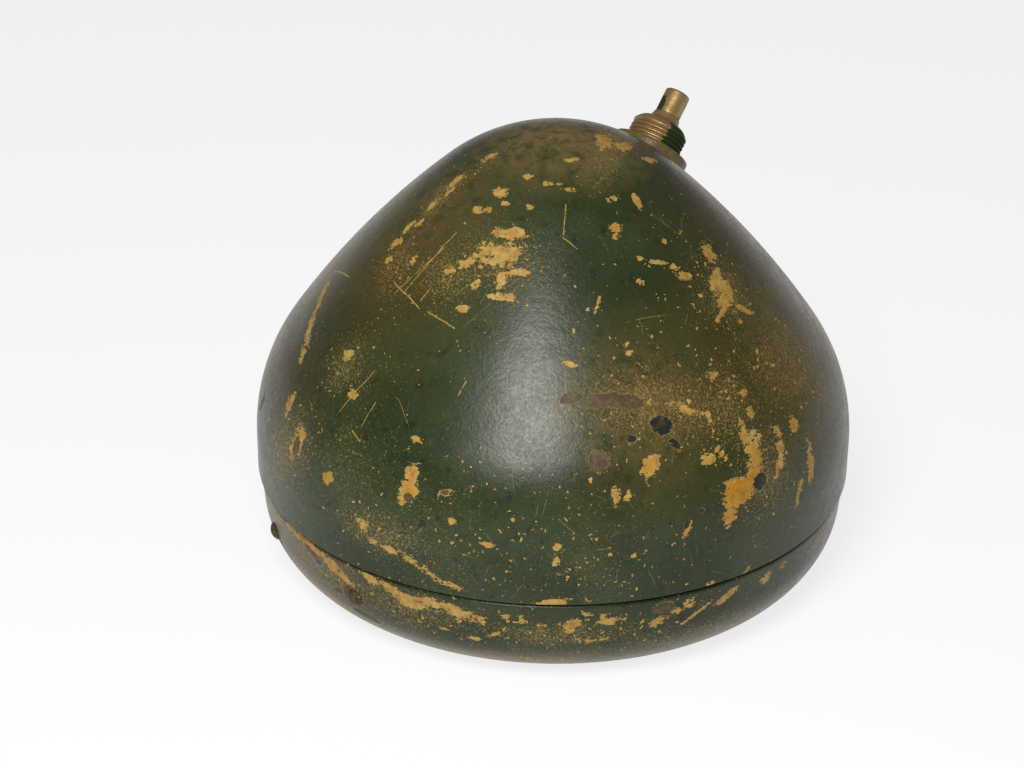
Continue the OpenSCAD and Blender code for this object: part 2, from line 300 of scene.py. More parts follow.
def rounded_line(corners, radii, steps=6):
    """A side-view line whose corners are rounded.

    Each corner is replaced by points of a curve that leaves the incoming straight at its
    radius from the corner and joins the outgoing one at the same distance: the quadratic
    blend of the two tangent points and the corner.
    """
    corners = np.asarray(corners, float)
    line = [corners[:1]]
    for before, corner, after, radius in zip(corners[:-2], corners[1:-1], corners[2:],
                                             radii[1:-1]):
        back, on = before - corner, after - corner
        reach = min(radius, 0.49 * np.linalg.norm(back), 0.49 * np.linalg.norm(on))
        if reach <= 0:
            line.append(corner[None])
            continue
        a = corner + back / np.linalg.norm(back) * reach
        b = corner + on / np.linalg.norm(on) * reach
        t = np.linspace(0, 1, steps)[:, None]
        line.append((1 - t) ** 2 * a + 2 * t * (1 - t) * corner + t ** 2 * b)
    line.append(corners[-1:])
    return np.concatenate(line)


def along(line, step):
    """The same line with extra points, so that no straight of it is longer than step."""
    line = np.asarray(line, float)
    gaps = np.linalg.norm(np.diff(line, axis=0), axis=1)
    parts = [np.linspace(a, b, max(1, math.ceil(gap / step)), endpoint=False)
             for a, b, gap in zip(line[:-1], line[1:], gaps)]
    return np.concatenate(parts + [line[-1:]])


def arc(centre, radius, start, end, steps):
    """Points of a side-view arc between two angles in radians."""
    turn = np.linspace(start, end, steps)
    return np.stack([centre[0] + radius * np.cos(turn),
                     centre[1] + radius * np.sin(turn)], axis=1)


def circle(columns):
    """Even angles round a full turn."""
    return np.arange(columns) * 2 * math.pi / columns


def direction(angles):
    """The cosine and sine of each angle."""
    return np.stack([np.cos(angles), np.sin(angles)], axis=-1)


def revolved(line, columns, lift=0.0):
    """The line turned about +Z: (r, z) becomes (r cos a, r sin a, z + lift)."""
    turn = circle(columns)
    r, z = line[:, :1], line[:, 1:]
    return np.stack([r * np.cos(turn), r * np.sin(turn),
                     np.broadcast_to(z + lift, (len(line), columns))], axis=-1)


# ---------------------------------------------------------------------------
# The dome


class Dome:
    """Side view of the shell, measured by its length from the seam to the crown's top.

    It is a straight skirt and three arcs that meet without a corner: shoulder, flank and
    crown. radius, height and the outward normal are read from a fine table by that length.
    """

    def __init__(self, sizes):
        self.seam = sizes.seam_height
        middle = np.array([sizes.radius - sizes.shoulder, sizes.skirt])
        turn = np.array([math.cos(sizes.shoulder_turn), math.sin(sizes.shoulder_turn)])
        flank = middle + (sizes.shoulder - sizes.flank) * turn
        join = flank + sizes.flank * np.array([math.cos(sizes.crown_start),
                                               math.sin(sizes.crown_start)])
        crown_radius = join[0] / math.cos(sizes.crown_start)
        crown = np.array([0.0, join[1] - crown_radius * math.sin(sizes.crown_start)])
        pieces = [(None, sizes.skirt, 0.0, 0.0),
                  (middle, sizes.shoulder, 0.0, sizes.shoulder_turn),
                  (flank, sizes.flank, sizes.shoulder_turn, sizes.crown_start),
                  (crown, crown_radius, sizes.crown_start, math.pi / 2)]
        reach, table = 0.0, []
        for centre, size, start, end in pieces:
            t = np.linspace(0, 1, DOME_STEPS)
            if centre is None:
                length_here = size
                point = np.stack([np.full_like(t, sizes.radius), t * size], axis=1)
                slope = np.zeros_like(t)
            else:
                length_here = size * (end - start)
                slope = start + (end - start) * t
                point = centre + size * np.stack([np.cos(slope), np.sin(slope)], axis=1)
            table.append(np.column_stack([reach + t * length_here, point, slope]))
            reach += length_here
        self.table = np.concatenate(table)
        self.total = reach

    def at(self, run):
        """Radius, height above the seam and slope at a length from the seam."""
        run = np.clip(run, 0, self.total)
        return [np.interp(run, self.table[:, 0], self.table[:, k]) for k in (1, 2, 3)]

    def point(self, run, around, off=0.0):
        """Point of the surface moved outwards by off."""
        radius, height, slope = self.at(run)
        r = radius + off * np.cos(slope)
        return np.stack([r * np.cos(around), r * np.sin(around),
                         self.seam + height + off * np.sin(slope)], axis=-1)

    def run_at_height(self, height):
        """Length from the seam at a height above the resting plane."""
        return np.interp(height - self.seam, self.table[:, 2], self.table[:, 0])

    def drop(self, points):
        """Height of points above the dome straight below them, near the neck."""
        r = np.hypot(points[..., 0], points[..., 1])
        upper = self.table[::-1]
        return points[..., 2] - self.seam - np.interp(r, upper[:, 1], upper[:, 2])

    def up_the_neck(self, radius, around, off=0.0):
        """How far up the neck a line beside its axis meets the dome moved out by off.

        The line is at a radius and an angle round the axis. Its height is found by halving
        the stretch from 14 mm below the neck's foot to 6 mm above it.
        """
        low = np.full(np.broadcast(radius, around).shape, -14 * MM)
        high = np.full_like(low, 6 * MM)
        for _ in range(40):
            middle = (low + high) / 2
            above = self.drop(neck_point(radius, around, middle)) > 0
            high, low = np.where(above, middle, high), np.where(above, low, middle)
        return low + off


NECK_SIDE = np.array([1.0, 0.0, 0.0])
NECK_BACK = np.cross(NECK_AXIS, NECK_SIDE)


def neck_point(radius, around, height):
    """Point at a radius and angle round the neck's axis, at a height up the neck."""
    radius, around, height = np.broadcast_arrays(radius, around, height)
    return (NECK_FOOT + (radius * np.cos(around))[..., None] * NECK_SIDE
            + (radius * np.sin(around))[..., None] * NECK_BACK
            + height[..., None] * NECK_AXIS)


def turned_on_neck(line):
    """The line turned about the neck: (r, h) at every angle round its axis."""
    return neck_point(line[:, :1], circle(NECK_COLUMNS)[None], line[:, 1:])


# ---------------------------------------------------------------------------
# Wear


# Marks: angle around in degrees, height in mm, half length and half width in mm,
# and tilt in degrees from level.
SHELL_CHIPS = [
    # the large chip high on the front, and the flakes round it
    (-72, 133, 5.6, 2.2, 10), (-73, 128, 6.6, 2.9, 4), (-76, 126, 5.2, 1.8, 0),
    (-70, 121, 4.6, 1.3, 85), (-65, 124, 3.6, 1.0, 5), (-68, 118, 5.4, 1.7, 0),
    (-78, 120, 2.7, 1.3, 80), (-79, 114, 2.7, 1.6, 25), (-84, 124, 2.6, 1.9, 60),
    (-89, 121, 1.7, 1.3, 0), (-79, 124, 1.5, 1.0, 0), (-85, 137, 1.5, 0.9, 0),
    (-78, 139, 1.6, 0.9, 0), (-91, 136, 1.4, 0.9, 0), (-85, 141, 2.5, 1.7, 0),
    (-73, 145, 1.5, 1.0, 0), (-55, 144, 3.2, 1.3, 0), (-66, 139, 1.5, 1.0, 0),
    (-45, 143, 2.6, 1.0, -10), (-38, 148, 3.0, 1.0, 10),
    # the long scrape down the left
    (-115, 146, 3.2, 1.4, 85), (-117, 139, 3.6, 1.2, 85), (-114, 137, 2.4, 0.8, 85),
    (-117, 132, 4.0, 1.1, 88), (-119, 125, 3.0, 1.0, 85), (-115, 128, 2.2, 0.8, 80),
    (-118, 121, 2.6, 1.8, 40), (-115, 117, 1.8, 1.2, 0),
    (-105, 120, 1.6, 1.3, 0), (-134, 97, 5.5, 1.6, -35), (-127, 90, 6.0, 1.8, -35),
    (-122, 84, 4.5, 1.4, -40), (-106, 93, 2.2, 1.7, 30), (-99, 85, 1.9, 1.6, 30),
    (-116, 73, 5.0, 1.5, 85), (-109, 64, 5.8, 2.8, 85), (-98, 60, 2.0, 1.5, 40),
    # the far crest and the ragged group down the right
    (26, 149, 5.0, 2.2, 10), (31, 147, 4.0, 1.8, -20), (30, 143, 3.0, 1.2, -40),
    (9, 121, 3.2, 2.4, 80), (3, 115, 4.4, 2.2, 30), (5, 111, 3.4, 2.0, 70),
    (1, 110, 2.8, 1.3, 0), (-1, 108, 4.2, 0.8, 25), (8, 105, 4.0, 1.0, -50),
    (-7, 119, 2.4, 1.0, -20), (-14, 124, 3.4, 1.1, -20), (-10, 122, 2.6, 1.2, -25),
    (-20, 140, 1.7, 1.4, 0), (-25, 140, 1.0, 0.9, 0), (-9, 138, 2.6, 1.0, 75),
    (-26, 134, 1.9, 1.5, 0), (-27, 132, 1.2, 0.9, 0), (-7, 128, 1.6, 1.0, 30),
    (-21, 126, 1.3, 1.1, 0), (-24, 121, 1.2, 1.2, 0), (3, 104, 1.2, 1.0, 0),
    # the large ochre chips low on the right
    (-16, 64, 5.4, 5.2, 30), (-18, 58, 3.6, 2.2, 75), (-10, 71, 6.6, 3.6, 65),
    (-11, 78, 4.2, 1.2, 85), (-12, 66, 3.4, 2.0, 30), (-4, 66, 4.0, 2.2, 40),
    (-3, 71, 4.6, 1.6, 80), (3, 74, 2.6, 2.2, 60), (5, 61, 6.6, 1.6, 80),
    (0, 54, 4.2, 1.4, 60), (-17, 74, 5.4, 0.6, -65), (-18, 83, 4.0, 0.7, 85),
    (-23, 89, 5.0, 1.5, -30), (-21, 75, 2.0, 1.7, 0), (-33, 76, 5.0, 2.2, 52),
    (-13, 95, 1.8, 1.5, 0), (-7, 88, 1.6, 1.4, 0), (-7, 83, 2.0, 1.1, 80),
    (-40, 70, 3.2, 1.1, 85), (-38, 70, 2.6, 0.8, 85), (-27, 63, 1.5, 0.7, 85),
    (-27, 57, 2.8, 1.3, 60),
    # the middle of the front
    (-48, 103, 1.9, 0.9, -10), (-33, 107, 1.0, 1.2, 0), (-33, 105, 1.0, 1.6, 80),
    (-39, 118, 4.0, 0.35, 72),
    (-79, 71, 5.2, 2.4, 80), (-79, 65, 3.4, 2.7, 60), (-72, 68, 2.5, 1.3, 15),
    (-70, 60, 1.2, 1.3, 0), (-80, 80, 2.0, 1.0, -10), (-63, 54, 1.7, 1.0, -20),
    (-82, 45, 3.6, 1.5, -30), (-78, 44, 4.6, 1.7, -25), (-74, 41, 4.0, 1.3, -25),
    (-88, 51, 4.0, 1.6, -50), (-86, 46, 2.0, 1.6, 60), (-70, 38, 4.4, 0.9, -10),
    (-51, 50, 1.0, 1.3, 0), (-51, 55, 1.0, 1.6, 0), (-37, 50, 2.0, 0.6, -60),
    (-35, 51, 1.0, 1.0, 0), (-14, 35, 2.6, 0.5, 40), (-22, 35, 1.5, 0.9, 0),
    # beyond what shows from the front
    (60, 120, 3.4, 1.6, 30), (74, 60, 4.6, 2.6, 70), (110, 84, 3.8, 2.2, 10),
    (140, 118, 4.2, 1.8, 50), (158, 66, 5.4, 2.2, 80), (185, 92, 3.4, 2.4, 20),
    (200, 54, 4.2, 1.6, -30), (40, 70, 4.0, 2.0, 60), (128, 50, 5.6, 1.4, -15),
]
# around and height of both ends, and half the width
SHELL_SCRAPES = [
    (-94, 130, -100, 113, 0.3), (-95, 126, -103, 112, 0.25), (-106, 114, -92, 111, 0.3),
    (-89, 111, -79, 109, 0.3), (-140, 102, -127, 107, 0.3), (-96, 93, -100, 80, 0.3),
    (-92, 86, -93, 79, 0.25), (-87, 89, -82, 83, 0.12), (-95, 77, -92, 75, 0.3),
    (-72, 97, -73, 94, 0.4), (-92, 116, -93, 113, 0.3), (-89, 123, -89, 119, 0.4),
    (-46, 140, -48, 133, 0.25), (-49, 133, -43, 130, 0.25), (150, 110, 164, 88, 0.3),
]
SHELL_RUST = [(-43, 94, 4.2, 2.2, 4), (-39, 94, 5.2, 2.4, -4), (-35, 93, 4.0, 2.2, -8),
              (-48, 95, 2.8, 1.9, 20), (-43, 79, 2.8, 3.2, 10), (-109, 63, 1.9, 3.6, 0),
              (-79, 64, 1.6, 1.6, 0), (-72, 68, 1.6, 0.9, 15), (-131, 60, 4.0, 2.0, 60),
              (170, 80, 5.0, 3.0, 30), (90, 96, 4.0, 2.0, 60)]
SHELL_BARE = [(-29, 86, 3.6, 2.9, -20), (-27, 81, 2.8, 1.2, -60), (-36, 84, 1.3, 1.2, 0),
              (-10, 64, 2.6, 2.2, 40), (-27, 58, 2.4, 1.0, 60), (-24, 61, 1.0, 0.8, 0),
              (150, 100, 3.0, 1.6, 20)]
SHELL_DUST = [(-116, 136, 22, 5, 86), (-34, 93, 20, 10, -6), (-22, 89, 18, 12, -20),
              (-12, 86, 12, 16, 0), (-110, 117, 10, 12, 60), (-74, 126, 16, 12, 10),
              (4, 112, 12, 12, 40),
              (-88, 120, 12, 9, 0), (-84, 50, 18, 9, 0), (-112, 60, 18, 14, 60),
              (-8, 66, 16, 14, 40), (25, 148, 24, 6, 0), (-105, 90, 10, 10, 0),
              (12, 88, 16, 24, 80), (150, 80, 30, 24, 0), (80, 90, 24, 20, 0)]
PAN_CHIPS = [
    (-74, 29, 5.4, 1.7, -2), (-69, 28, 5.6, 2.2, -10), (-65, 26.5, 3.0, 1.3, -20),
    (-82, 30, 5.0, 2.0, -12), (-79, 27.5, 4.0, 1.8, -30), (-87, 31, 4.2, 1.5, -25),
    (-98, 30, 6.0, 1.9, -15), (-104, 31, 6.6, 1.7, -12), (-110, 31.5, 5.0, 1.4, 0),
    (-94, 27, 3.0, 1.2, -20), (-57, 28, 3.4, 1.7, 10), (-54, 26, 1.6, 1.0, 0),
    (-60, 29, 1.6, 1.0, 0), (-48, 26, 2.7, 2.2, 10), (-45, 29, 2.0, 1.4, 0),
    (-41, 27, 3.4, 1.6, 0), (-42, 29, 1.2, 1.2, 0), (-32, 24.5, 2.2, 2.0, 40),
    (-26, 29, 1.9, 2.0, 0), (-28, 27, 2.4, 0.9, 20), (-47, 20, 1.4, 0.8, 0),
    (-45, 19.5, 1.5, 1.0, 0), (-42, 20, 2.4, 0.6, 0), (-18, 27, 4.8, 1.1, 28),
    (-24, 24, 6.0, 0.6, 30), (-8, 28, 1.8, 2.4, 75), (-3, 29, 1.3, 1.2, 0),
    (-62, 21, 2.4, 0.8, 20), (-66, 18, 2.0, 0.7, 0), (-72, 20, 2.6, 0.7, 0),
    (-118, 29, 6.0, 1.6, 0), (-126, 30, 6.0, 1.4, 0), (-110, 15, 5.0, 1.1, -8),
    (-99, 13, 6.0, 1.2, -8), (10, 27, 4.0, 1.0, 10),
    (30, 24, 5.0, 1.6, 20), (75, 28, 4.0, 1.4, 0), (120, 26, 6.0, 2.0, -10),
    (165, 29, 4.0, 1.4, 0), (190, 22, 3.6, 1.2, 20), (215, 28, 5.0, 1.6, 0),
]
PAN_RUST = [(-31, 29, 3.8, 2.2, 0), (-92, 21, 4.0, 3.2, -20), (-103, 29, 4.0, 1.2, -15),
            (-90, 14, 6.0, 2.0, -10), (-120, 20, 4.0, 2.4, 0), (-76, 5, 16, 1.4, 0),
            (-50, 4, 20, 1.2, 0), (-25, 5, 18, 1.4, 0), (100, 20, 8.0, 4.0, 0),
            (180, 12, 12, 3.0, 0)]
PAN_BARE = [(-96, 20, 2.4, 1.2, 20), (-101, 27, 1.8, 1.0, 0), (-115, 17, 6.0, 2.0, -10)]
PAN_DUST = [(-80, 25, 26, 8, 0), (-100, 26, 26, 8, 0), (-50, 22, 30, 5, 0),
            (-70, 8, 50, 5, 0), (-20, 14, 40, 6, 0), (150, 22, 60, 8, 0)]
SHELL_MARKS = {"chip": SHELL_CHIPS, "rust": SHELL_RUST, "bare": SHELL_BARE, "dust": SHELL_DUST}
PAN_MARKS = {"chip": PAN_CHIPS, "rust": PAN_RUST, "bare": PAN_BARE, "dust": PAN_DUST}
# Broad patches: strength, angle around in degrees, height and spread in mm.
SHELL_PATCHES = {
    "dust": [(0.5, -94, 70, 22), (0.5, -76, 50, 22), (0.4, -104, 90, 20),
             (0.4, -45, 52, 22), (0.4, 150, 70, 40)],
    # haze: the patches at -150 and -160 degrees and at 40 to 46 degrees lie on the dome's left
    # and right outlines as the camera sees them, and are painted brown sheen of those grazing
    # edges; the others are a tan film of dust
    "haze_and_sheen": [(0.45, -116, 136, 18), (0.5, -35, 92, 18), (0.4, 20, 100, 20),
             (0.4, 14, 80, 16), (0.5, -150, 100, 24), (0.5, -150, 64, 26),
             (0.5, -160, 122, 30), (0.2, 46, 118, 30), (0.3, 44, 80, 26),
             (0.3, 40, 54, 18)],
    "stain": [(1.0, -110, 117, 24), (0.9, 6, 92, 30), (0.8, -26, 90, 20),
              (0.8, -8, 96, 22), (0.6, -122, 76, 18), (0.6, 120, 90, 40),
              (0.8, 40, 80, 34), (0.7, 40, 120, 26), (0.6, -148, 90, 34),
              (0.5, 200, 110, 30)],
    "thick": [(1.0, -15, 65, 11), (0.7, -33, 76, 6), (0.8, -79, 65, 5),
              (0.8, -12, 91, 9), (0.6, -26, 134, 4), (0.6, -24, 121, 4),
              (0.5, -100, 62, 6), (0.5, 3, 74, 5), (0.5, -72, 68, 4),
              (0.5, 28, 148, 6), (0.7, 74, 60, 8)],
}
PAN_PATCHES = {"haze_and_sheen": [(0.5, -120, 26, 30)], "stain": [(0.6, -100, 24, 26)],
               "thick": [(0.6, -45, 28, 6), (0.6, -102, 30, 18)]}


def marks_field(points, marks, place):
    """Nearness to the nearest mark: 1 in its middle, a half at its edge, 0 far off.

    For a point at level and upward distances u and v from a mark's middle, turned by the
    mark's tilt, the value is 2 to the power of -((u / half length)^2 + (v / half width)^2).
    """
    field = np.zeros(points.shape[:-1])
    for around, height, long, wide, tilt in marks:
        a = math.radians(around)
        middle = place(a, height * MM)
        level = np.array([-math.sin(a), math.cos(a), 0.0])
        upward = place(a, height * MM + 0.5 * MM) - middle
        upward /= np.linalg.norm(upward)
        off = points - middle
        u, v = off @ level, off @ upward
        c, s = math.cos(math.radians(tilt)), math.sin(math.radians(tilt))
        near = ((u * c + v * s) / (long * MM)) ** 2 + ((v * c - u * s) / (wide * MM)) ** 2
        field = np.maximum(field, 2.0 ** -np.minimum(near, 40))
    return field


def blob(points, around, height, spread, place):
    """A broad soft patch: 2 to the power of -(distance / spread)^2."""
    middle = place(math.radians(around), height * MM)
    off = np.linalg.norm(points - middle, axis=-1)
    return 2.0 ** -(off / (spread * MM)) ** 2


def wear_layers(points, outside, marks, patches, films, place):
    """Each layer's strength on the points, times the share of it that the point has.

    It is the largest of the layer's marks, its soft patches and its even film. place gives
    the point of the surface at an angle and a height.
    """
    layers = {}
    for name in WEAR:
        parts = [films.get(name, np.zeros(points.shape[:-1]))]
        parts += [share * blob(points, *patch, place) for share, *patch in patches.get(name, ())]
        parts.append(marks_field(points, marks.get(name, ()), place))
        layers[name] = np.maximum.reduce(parts) * outside
    return layers


# ---------------------------------------------------------------------------
# Finishes


class Wire:
    """One output in a material's nodes. Plain arithmetic on wires adds the nodes for it."""

    def __init__(self, finish, socket):
        self.finish, self.socket = finish, socket

    def __add__(self, other):
        return self.finish.calc("ADD", self, other)

    def __sub__(self, other):
        return self.finish.calc("SUBTRACT", self, other)

    def __rsub__(self, other):
        return self.finish.calc("SUBTRACT", other, self)

    def __mul__(self, other):
        return self.finish.calc("MULTIPLY", self, other)

    def __pow__(self, other):
        return self.finish.calc("POWER", self, other)


class Finish:
    """One material, built by adding nodes and feeding their sockets."""

    def __init__(self, name):
        self.material = bpy.data.materials.new(name)
        self.material.use_nodes = True
        self.nodes = self.material.node_tree.nodes
        self.links = self.material.node_tree.links
        self.nodes.clear()
        self.place = self.add("TexCoord", "Object")

    def node(self, kind, feeds=None, **settings):
        """A new node of that kind. feeds gives each socket, by name or number, its value
        or the wire that it comes from."""
        node = self.nodes.new("ShaderNode" + kind)
        for key, value in settings.items():
            setattr(node, key, value)
        for key, value in (feeds or {}).items():
            self.feed(node.inputs[key], value)
        return node

    def wires(self, node, *outs):
        """The node's outputs of those names or numbers."""
        return [Wire(self, node.outputs[out]) for out in outs]

    def add(self, kind, out=0, feeds=None, **settings):
        """One output of a new node."""
        return self.wires(self.node(kind, feeds, **settings), out)[0]

    def feed(self, socket, value):
        """Joins or sets one socket; a three-part colour gets its fourth part."""
        if isinstance(value, Wire):
            self.links.new(value.socket, socket)
        elif hasattr(value, "__len__") and socket.type == "RGBA" and len(value) == 3:
            socket.default_value = (*value, 1.0)
        else:
            socket.default_value = value

    def calc(self, operation, *terms, clamp=False):
        """One arithmetic node over its one or two terms."""
        return self.add("Math", feeds=dict(enumerate(terms)), operation=operation,
                        use_clamp=clamp)

    def most(self, *terms):
        """The largest of the terms."""
        top = terms[0]
        for term in terms[1:]:
            top = self.calc("MAXIMUM", top, term)
        return top

    def vector(self, operation, first, second, out="Vector"):
        """One vector node over its two terms; the second term of SCALE is a number."""
        slot = "Scale" if operation == "SCALE" else 1
        return self.add("VectorMath", out, {0: first, slot: second}, operation=operation)

    def noise(self, scale, detail=4.0, rough=0.55, place=None, out="Fac", offset=0.0):
        """Even three-way noise at a scale in features to the metre."""
        place = place or self.place
        if offset:
            place = self.vector("ADD", place, (offset, offset * 0.7, -offset))
        return self.add("TexNoise", out, {"Vector": place, "Scale": scale, "Detail": detail,
                                          "Roughness": rough})

    def bent(self, place, scale, detail, rough, *reach):
        """The place moved along each axis by noise, up to a reach in metres."""
        wave = self.noise(scale, detail, rough, out="Color")
        return self.vector("ADD", place, self.vector("MULTIPLY", wave, reach))

    def step(self, value, low, high):
        """Rises smoothly from 0 to 1 as value goes from low to high."""
        return self.add("MapRange", "Result", {"Value": value, "From Min": low,
                                               "From Max": high},
                        interpolation_type="SMOOTHSTEP")

    def blend(self, share, first, second):
        """The first colour where share is 0 and the second where it is 1."""
        return self.add("Mix", 2, {"Factor": share, 6: first, 7: second}, data_type="RGBA")

    def layer(self, name):
        """A value kept on the piece's own points."""
        return self.add("Attribute", "Fac", attribute_name=name)

    def cells(self, place, scale, plane=False):
        """Cells at a scale in cells to the metre: in a plane each cell's middle, and
        otherwise the distance to it, and two random numbers that each cell has."""
        cell = self.node("TexVoronoi", {"Vector": place, "Scale": scale},
                         voronoi_dimensions="2D" if plane else "3D")
        middle, tint = self.wires(cell, "Position" if plane else "Distance", "Color")
        return [middle, *self.wires(self.node("SeparateColor", {0: tint}), "Red", "Green")]

    def scratches(self, flat, kinds):
        """Straight scratches on the unrolled surface. Each kind is cells to the metre,
        half width, half length and the share of cells without one, in cell widths.

        In a cell's own turned frame the scratch is where the distance across is below a
        width that falls to nothing towards both ends.
        """
        bent = self.bent(flat, 40, 1, 0.5, 0.0016, 0.0016, 0.0016)
        lines = []
        for scale, thin, long, empty in kinds:
            spot, first, second = self.cells(bent, scale, plane=True)
            off = self.vector("SCALE", self.vector("SUBTRACT", bent, spot), float(scale))
            x, y = self.wires(self.node("SeparateXYZ", {0: off}), "X", "Y")
            turn = first * (2 * math.pi)
            c, s = self.calc("COSINE", turn), self.calc("SINE", turn)
            run = self.calc("ABSOLUTE", x * c + y * s)
            side = self.calc("ABSOLUTE", y * c - x * s)
            width = (1.0 - self.step(run, long * 0.2, long)) * thin
            line = self.step(width - side, 0.0, thin * 0.5)
            lines.append(line * self.step(second, empty, empty + 0.02))
        return self.most(*lines)

    def scrapes(self, flat, lines):
        """Single straight scrapes on the unrolled surface. Each has two ends and a half
        width in metres, and is where the distance to the straight between them is below it.
        """
        bent = self.bent(flat, 150, 2, 0.6, 0.0012, 0.0012, 0.0)
        marks = []
        for start, end, thin in lines:
            way = end - start
            ahead = self.vector("SUBTRACT", bent, (*start, 0.0))
            share = self.vector("DOT_PRODUCT", ahead, (*(way / (way @ way)), 0.0), "Value")
            near = self.vector("SCALE", (*way, 0.0),
                               self.calc("MULTIPLY", share, 1.0, clamp=True))
            off = self.vector("DISTANCE", ahead, near, "Value")
            marks.append(self.step(thin - off, 0.0, thin * 0.5))
        return self.most(*marks)

    def bump(self, height):
        """Normal from a height in metres."""
        return self.add("Bump", "Normal", {"Height": height, "Strength": 1.0,
                                           "Distance": 1.0})

    def close(self, colour, roughness, normal, metallic=0.0, specular=0.5, sheen=0.0,
              sheen_tint=(1, 1, 1)):
        """The shader itself. Values that are the same all over go on its own sockets."""
        shader = self.add("BsdfPrincipled", feeds={
            "Base Color": colour, "Roughness": roughness, "Normal": normal,
            "Metallic": metallic, "Specular IOR Level": specular, "Sheen Weight": sheen,
            "Sheen Roughness": 0.4, "Sheen Tint": sheen_tint})
        return self.output(shader)

    def output(self, shader):
        """The material, once its last shader is on its surface."""
        self.node("OutputMaterial", {"Surface": shader})
        return self.material


def worn_paint(name, colours, scrapes=(), chippy=0.0):
    """Worn dark green paint over an ochre undercoat, brown rust and blue-black bare metal.

    The green coat is missing where the piece's chip marks, made ragged by noise and small
    flat-sided cells, rise past a half; small chips, specks and thin straight scratches are
    added from noise and cells. Rust and bare marks lie over both. Dust is a fine ochre
    speckle, haze a tan film that also paints brown sheen on the dome's outlines and a warm
    reflection low on the pan, stain a brown-olive one and thick where the ochre is deep.
    """
    f = Finish(name)
    chip, rust, bare, dust, haze_and_sheen, stain, thick = (f.layer(layer) for layer in WEAR)
    flat = f.add("UVMap", uv_map="Unrolled")

    # flakes lie level, so this noise is squeezed upwards
    level = f.add("Mapping", feeds={"Vector": f.place, "Scale": (1, 1, 1.8)})
    ragged = f.noise(260, 4, 0.78, place=level)
    coarse = f.noise(75, 2, 0.6, place=level, offset=3.1)
    broken = (f.cells(level, 950)[1] - 0.5) * 0.34
    rag = (ragged - 0.5) * 2.1 + (coarse - 0.5) * 1.5 + broken
    chip_edge = chip + rag * f.step(chip, 0.02, 0.3)
    large = f.step(chip_edge, 0.49, 0.53)

    # small chips that come from noise alone, more of them where it is dusty
    loose = f.noise(120, 6, 0.72, place=level, offset=7.7)
    where = f.noise(16, 1, 0.5, offset=1.3)
    ease = dust * 0.075 + where * 0.09 + broken * 0.08
    small = f.step(loose + ease, 0.765 - chippy, 0.775 - chippy)

    # specks: flakes of mixed size in cells, bent out of round
    bent = f.bent(f.place, 620, 1, 0.5, 0.0022, 0.0022, 0.0022)
    specks = []
    for scale, limit, more in ((330, 0.16, 0.2), (760, 0.22, 0.8)):
        far, chance, _ = f.cells(bent, scale)
        size = chance ** 5.0 * (limit * 1.6) * (where * 1.5 + dust * more) + rag * 0.05
        specks.append(f.step(size - far, 0.0, 0.03))

    # single scrapes, scattered scratches and fine ochre dusting
    drawn = f.scrapes(flat, scrapes) * f.step(ragged, 0.36, 0.46) if scrapes else 0.0
    scratch = f.scratches(flat, ((60, 0.0080, 0.40, 0.56), (112, 0.014, 0.42, 0.66),
                                 (31, 0.0038, 0.45, 0.80))) * f.step(ragged, 0.38, 0.5)
    faint = scratch * f.step(where, 0.25, 0.75)
    grit = f.noise(1500, 2, 0.7, offset=2.2)
    dusting = f.step(grit + dust * 0.22 + coarse * 0.12, 0.70, 0.90)

    # rust and bare metal, each with a rim of ochre round it
    rust_mask = f.step(rust + rag * 0.40, 0.47, 0.53)
    rust_rim = f.step(rust + rag * 0.52, 0.42, 0.47)
    bare_mask = f.step(bare + rag * 0.45, 0.47, 0.53)
    bare_rim = f.step(bare + rag * 0.6, 0.36, 0.44)
    gone = f.most(large, small, *specks)
    shown = f.most(gone, faint, drawn * 0.85, dusting * 0.75, rust_rim * 0.8, bare_rim * 0.8)

    tone = f.noise(22, 3, 0.6, offset=4.4)
    mottle = f.noise(260, 4, 0.65, offset=9.1)
    green = f.blend(f.step(tone, 0.35, 0.68), colours.paint, colours.paint_light)
    green = f.blend(f.step(mottle, 0.52, 0.75), green, colours.paint_dark)
    green = f.blend(stain * f.step(mottle, 0.2, 0.6), green, colours.stain)
    # haze film: tan dust, which in places is painted brown sheen on the dome's outlines and a
    # painted warm reflection low on the pan
    film = f.calc("MULTIPLY", haze_and_sheen, f.step(mottle + tone * 0.5, 0.45, 0.95), clamp=True)
    green = f.blend(film, green, colours.haze_and_sheen)
    ochre = f.blend(f.step(mottle, 0.35, 0.65), colours.undercoat, colours.undercoat_pale)
    ochre = f.blend(f.step(chip_edge, 0.62, 0.92) * thick, ochre, colours.undercoat_deep)
    blotch = f.step(f.noise(480, 5, 0.7, offset=5.2), 0.48, 0.68)
    ochre = f.blend(blotch * 0.55, ochre, colours.rust)
    ochre = f.blend(f.most(gone, drawn), colours.scuff, ochre)
    brown = f.blend(f.step(mottle + broken, 0.32, 0.62), colours.rust, colours.rust_dark)
    black = f.blend(f.step(mottle, 0.52, 0.66), colours.bare, colours.stain)
    base = f.blend(shown, green, ochre)
    base = f.blend(rust_mask * 0.92, base, brown)
    base = f.blend(bare_mask, base, black)

    worn = f.most(gone, rust_mask)
    grain = f.noise(1000, 2, 0.7, offset=6.0)
    rough = worn * 0.2 + mottle * 0.16 + grain * 0.32 + coarse * 0.14 + 0.01
    height = (f.most(worn, bare_mask) * -0.00009 + grain * 0.00006 + mottle * 0.00010
              + scratch * -0.00002 + f.noise(26, 1, 0.5) * 0.00045)
    return f.close(base, rough, f.bump(height), specular=0.27, sheen=0.05,
                   sheen_tint=colours.haze_and_sheen)


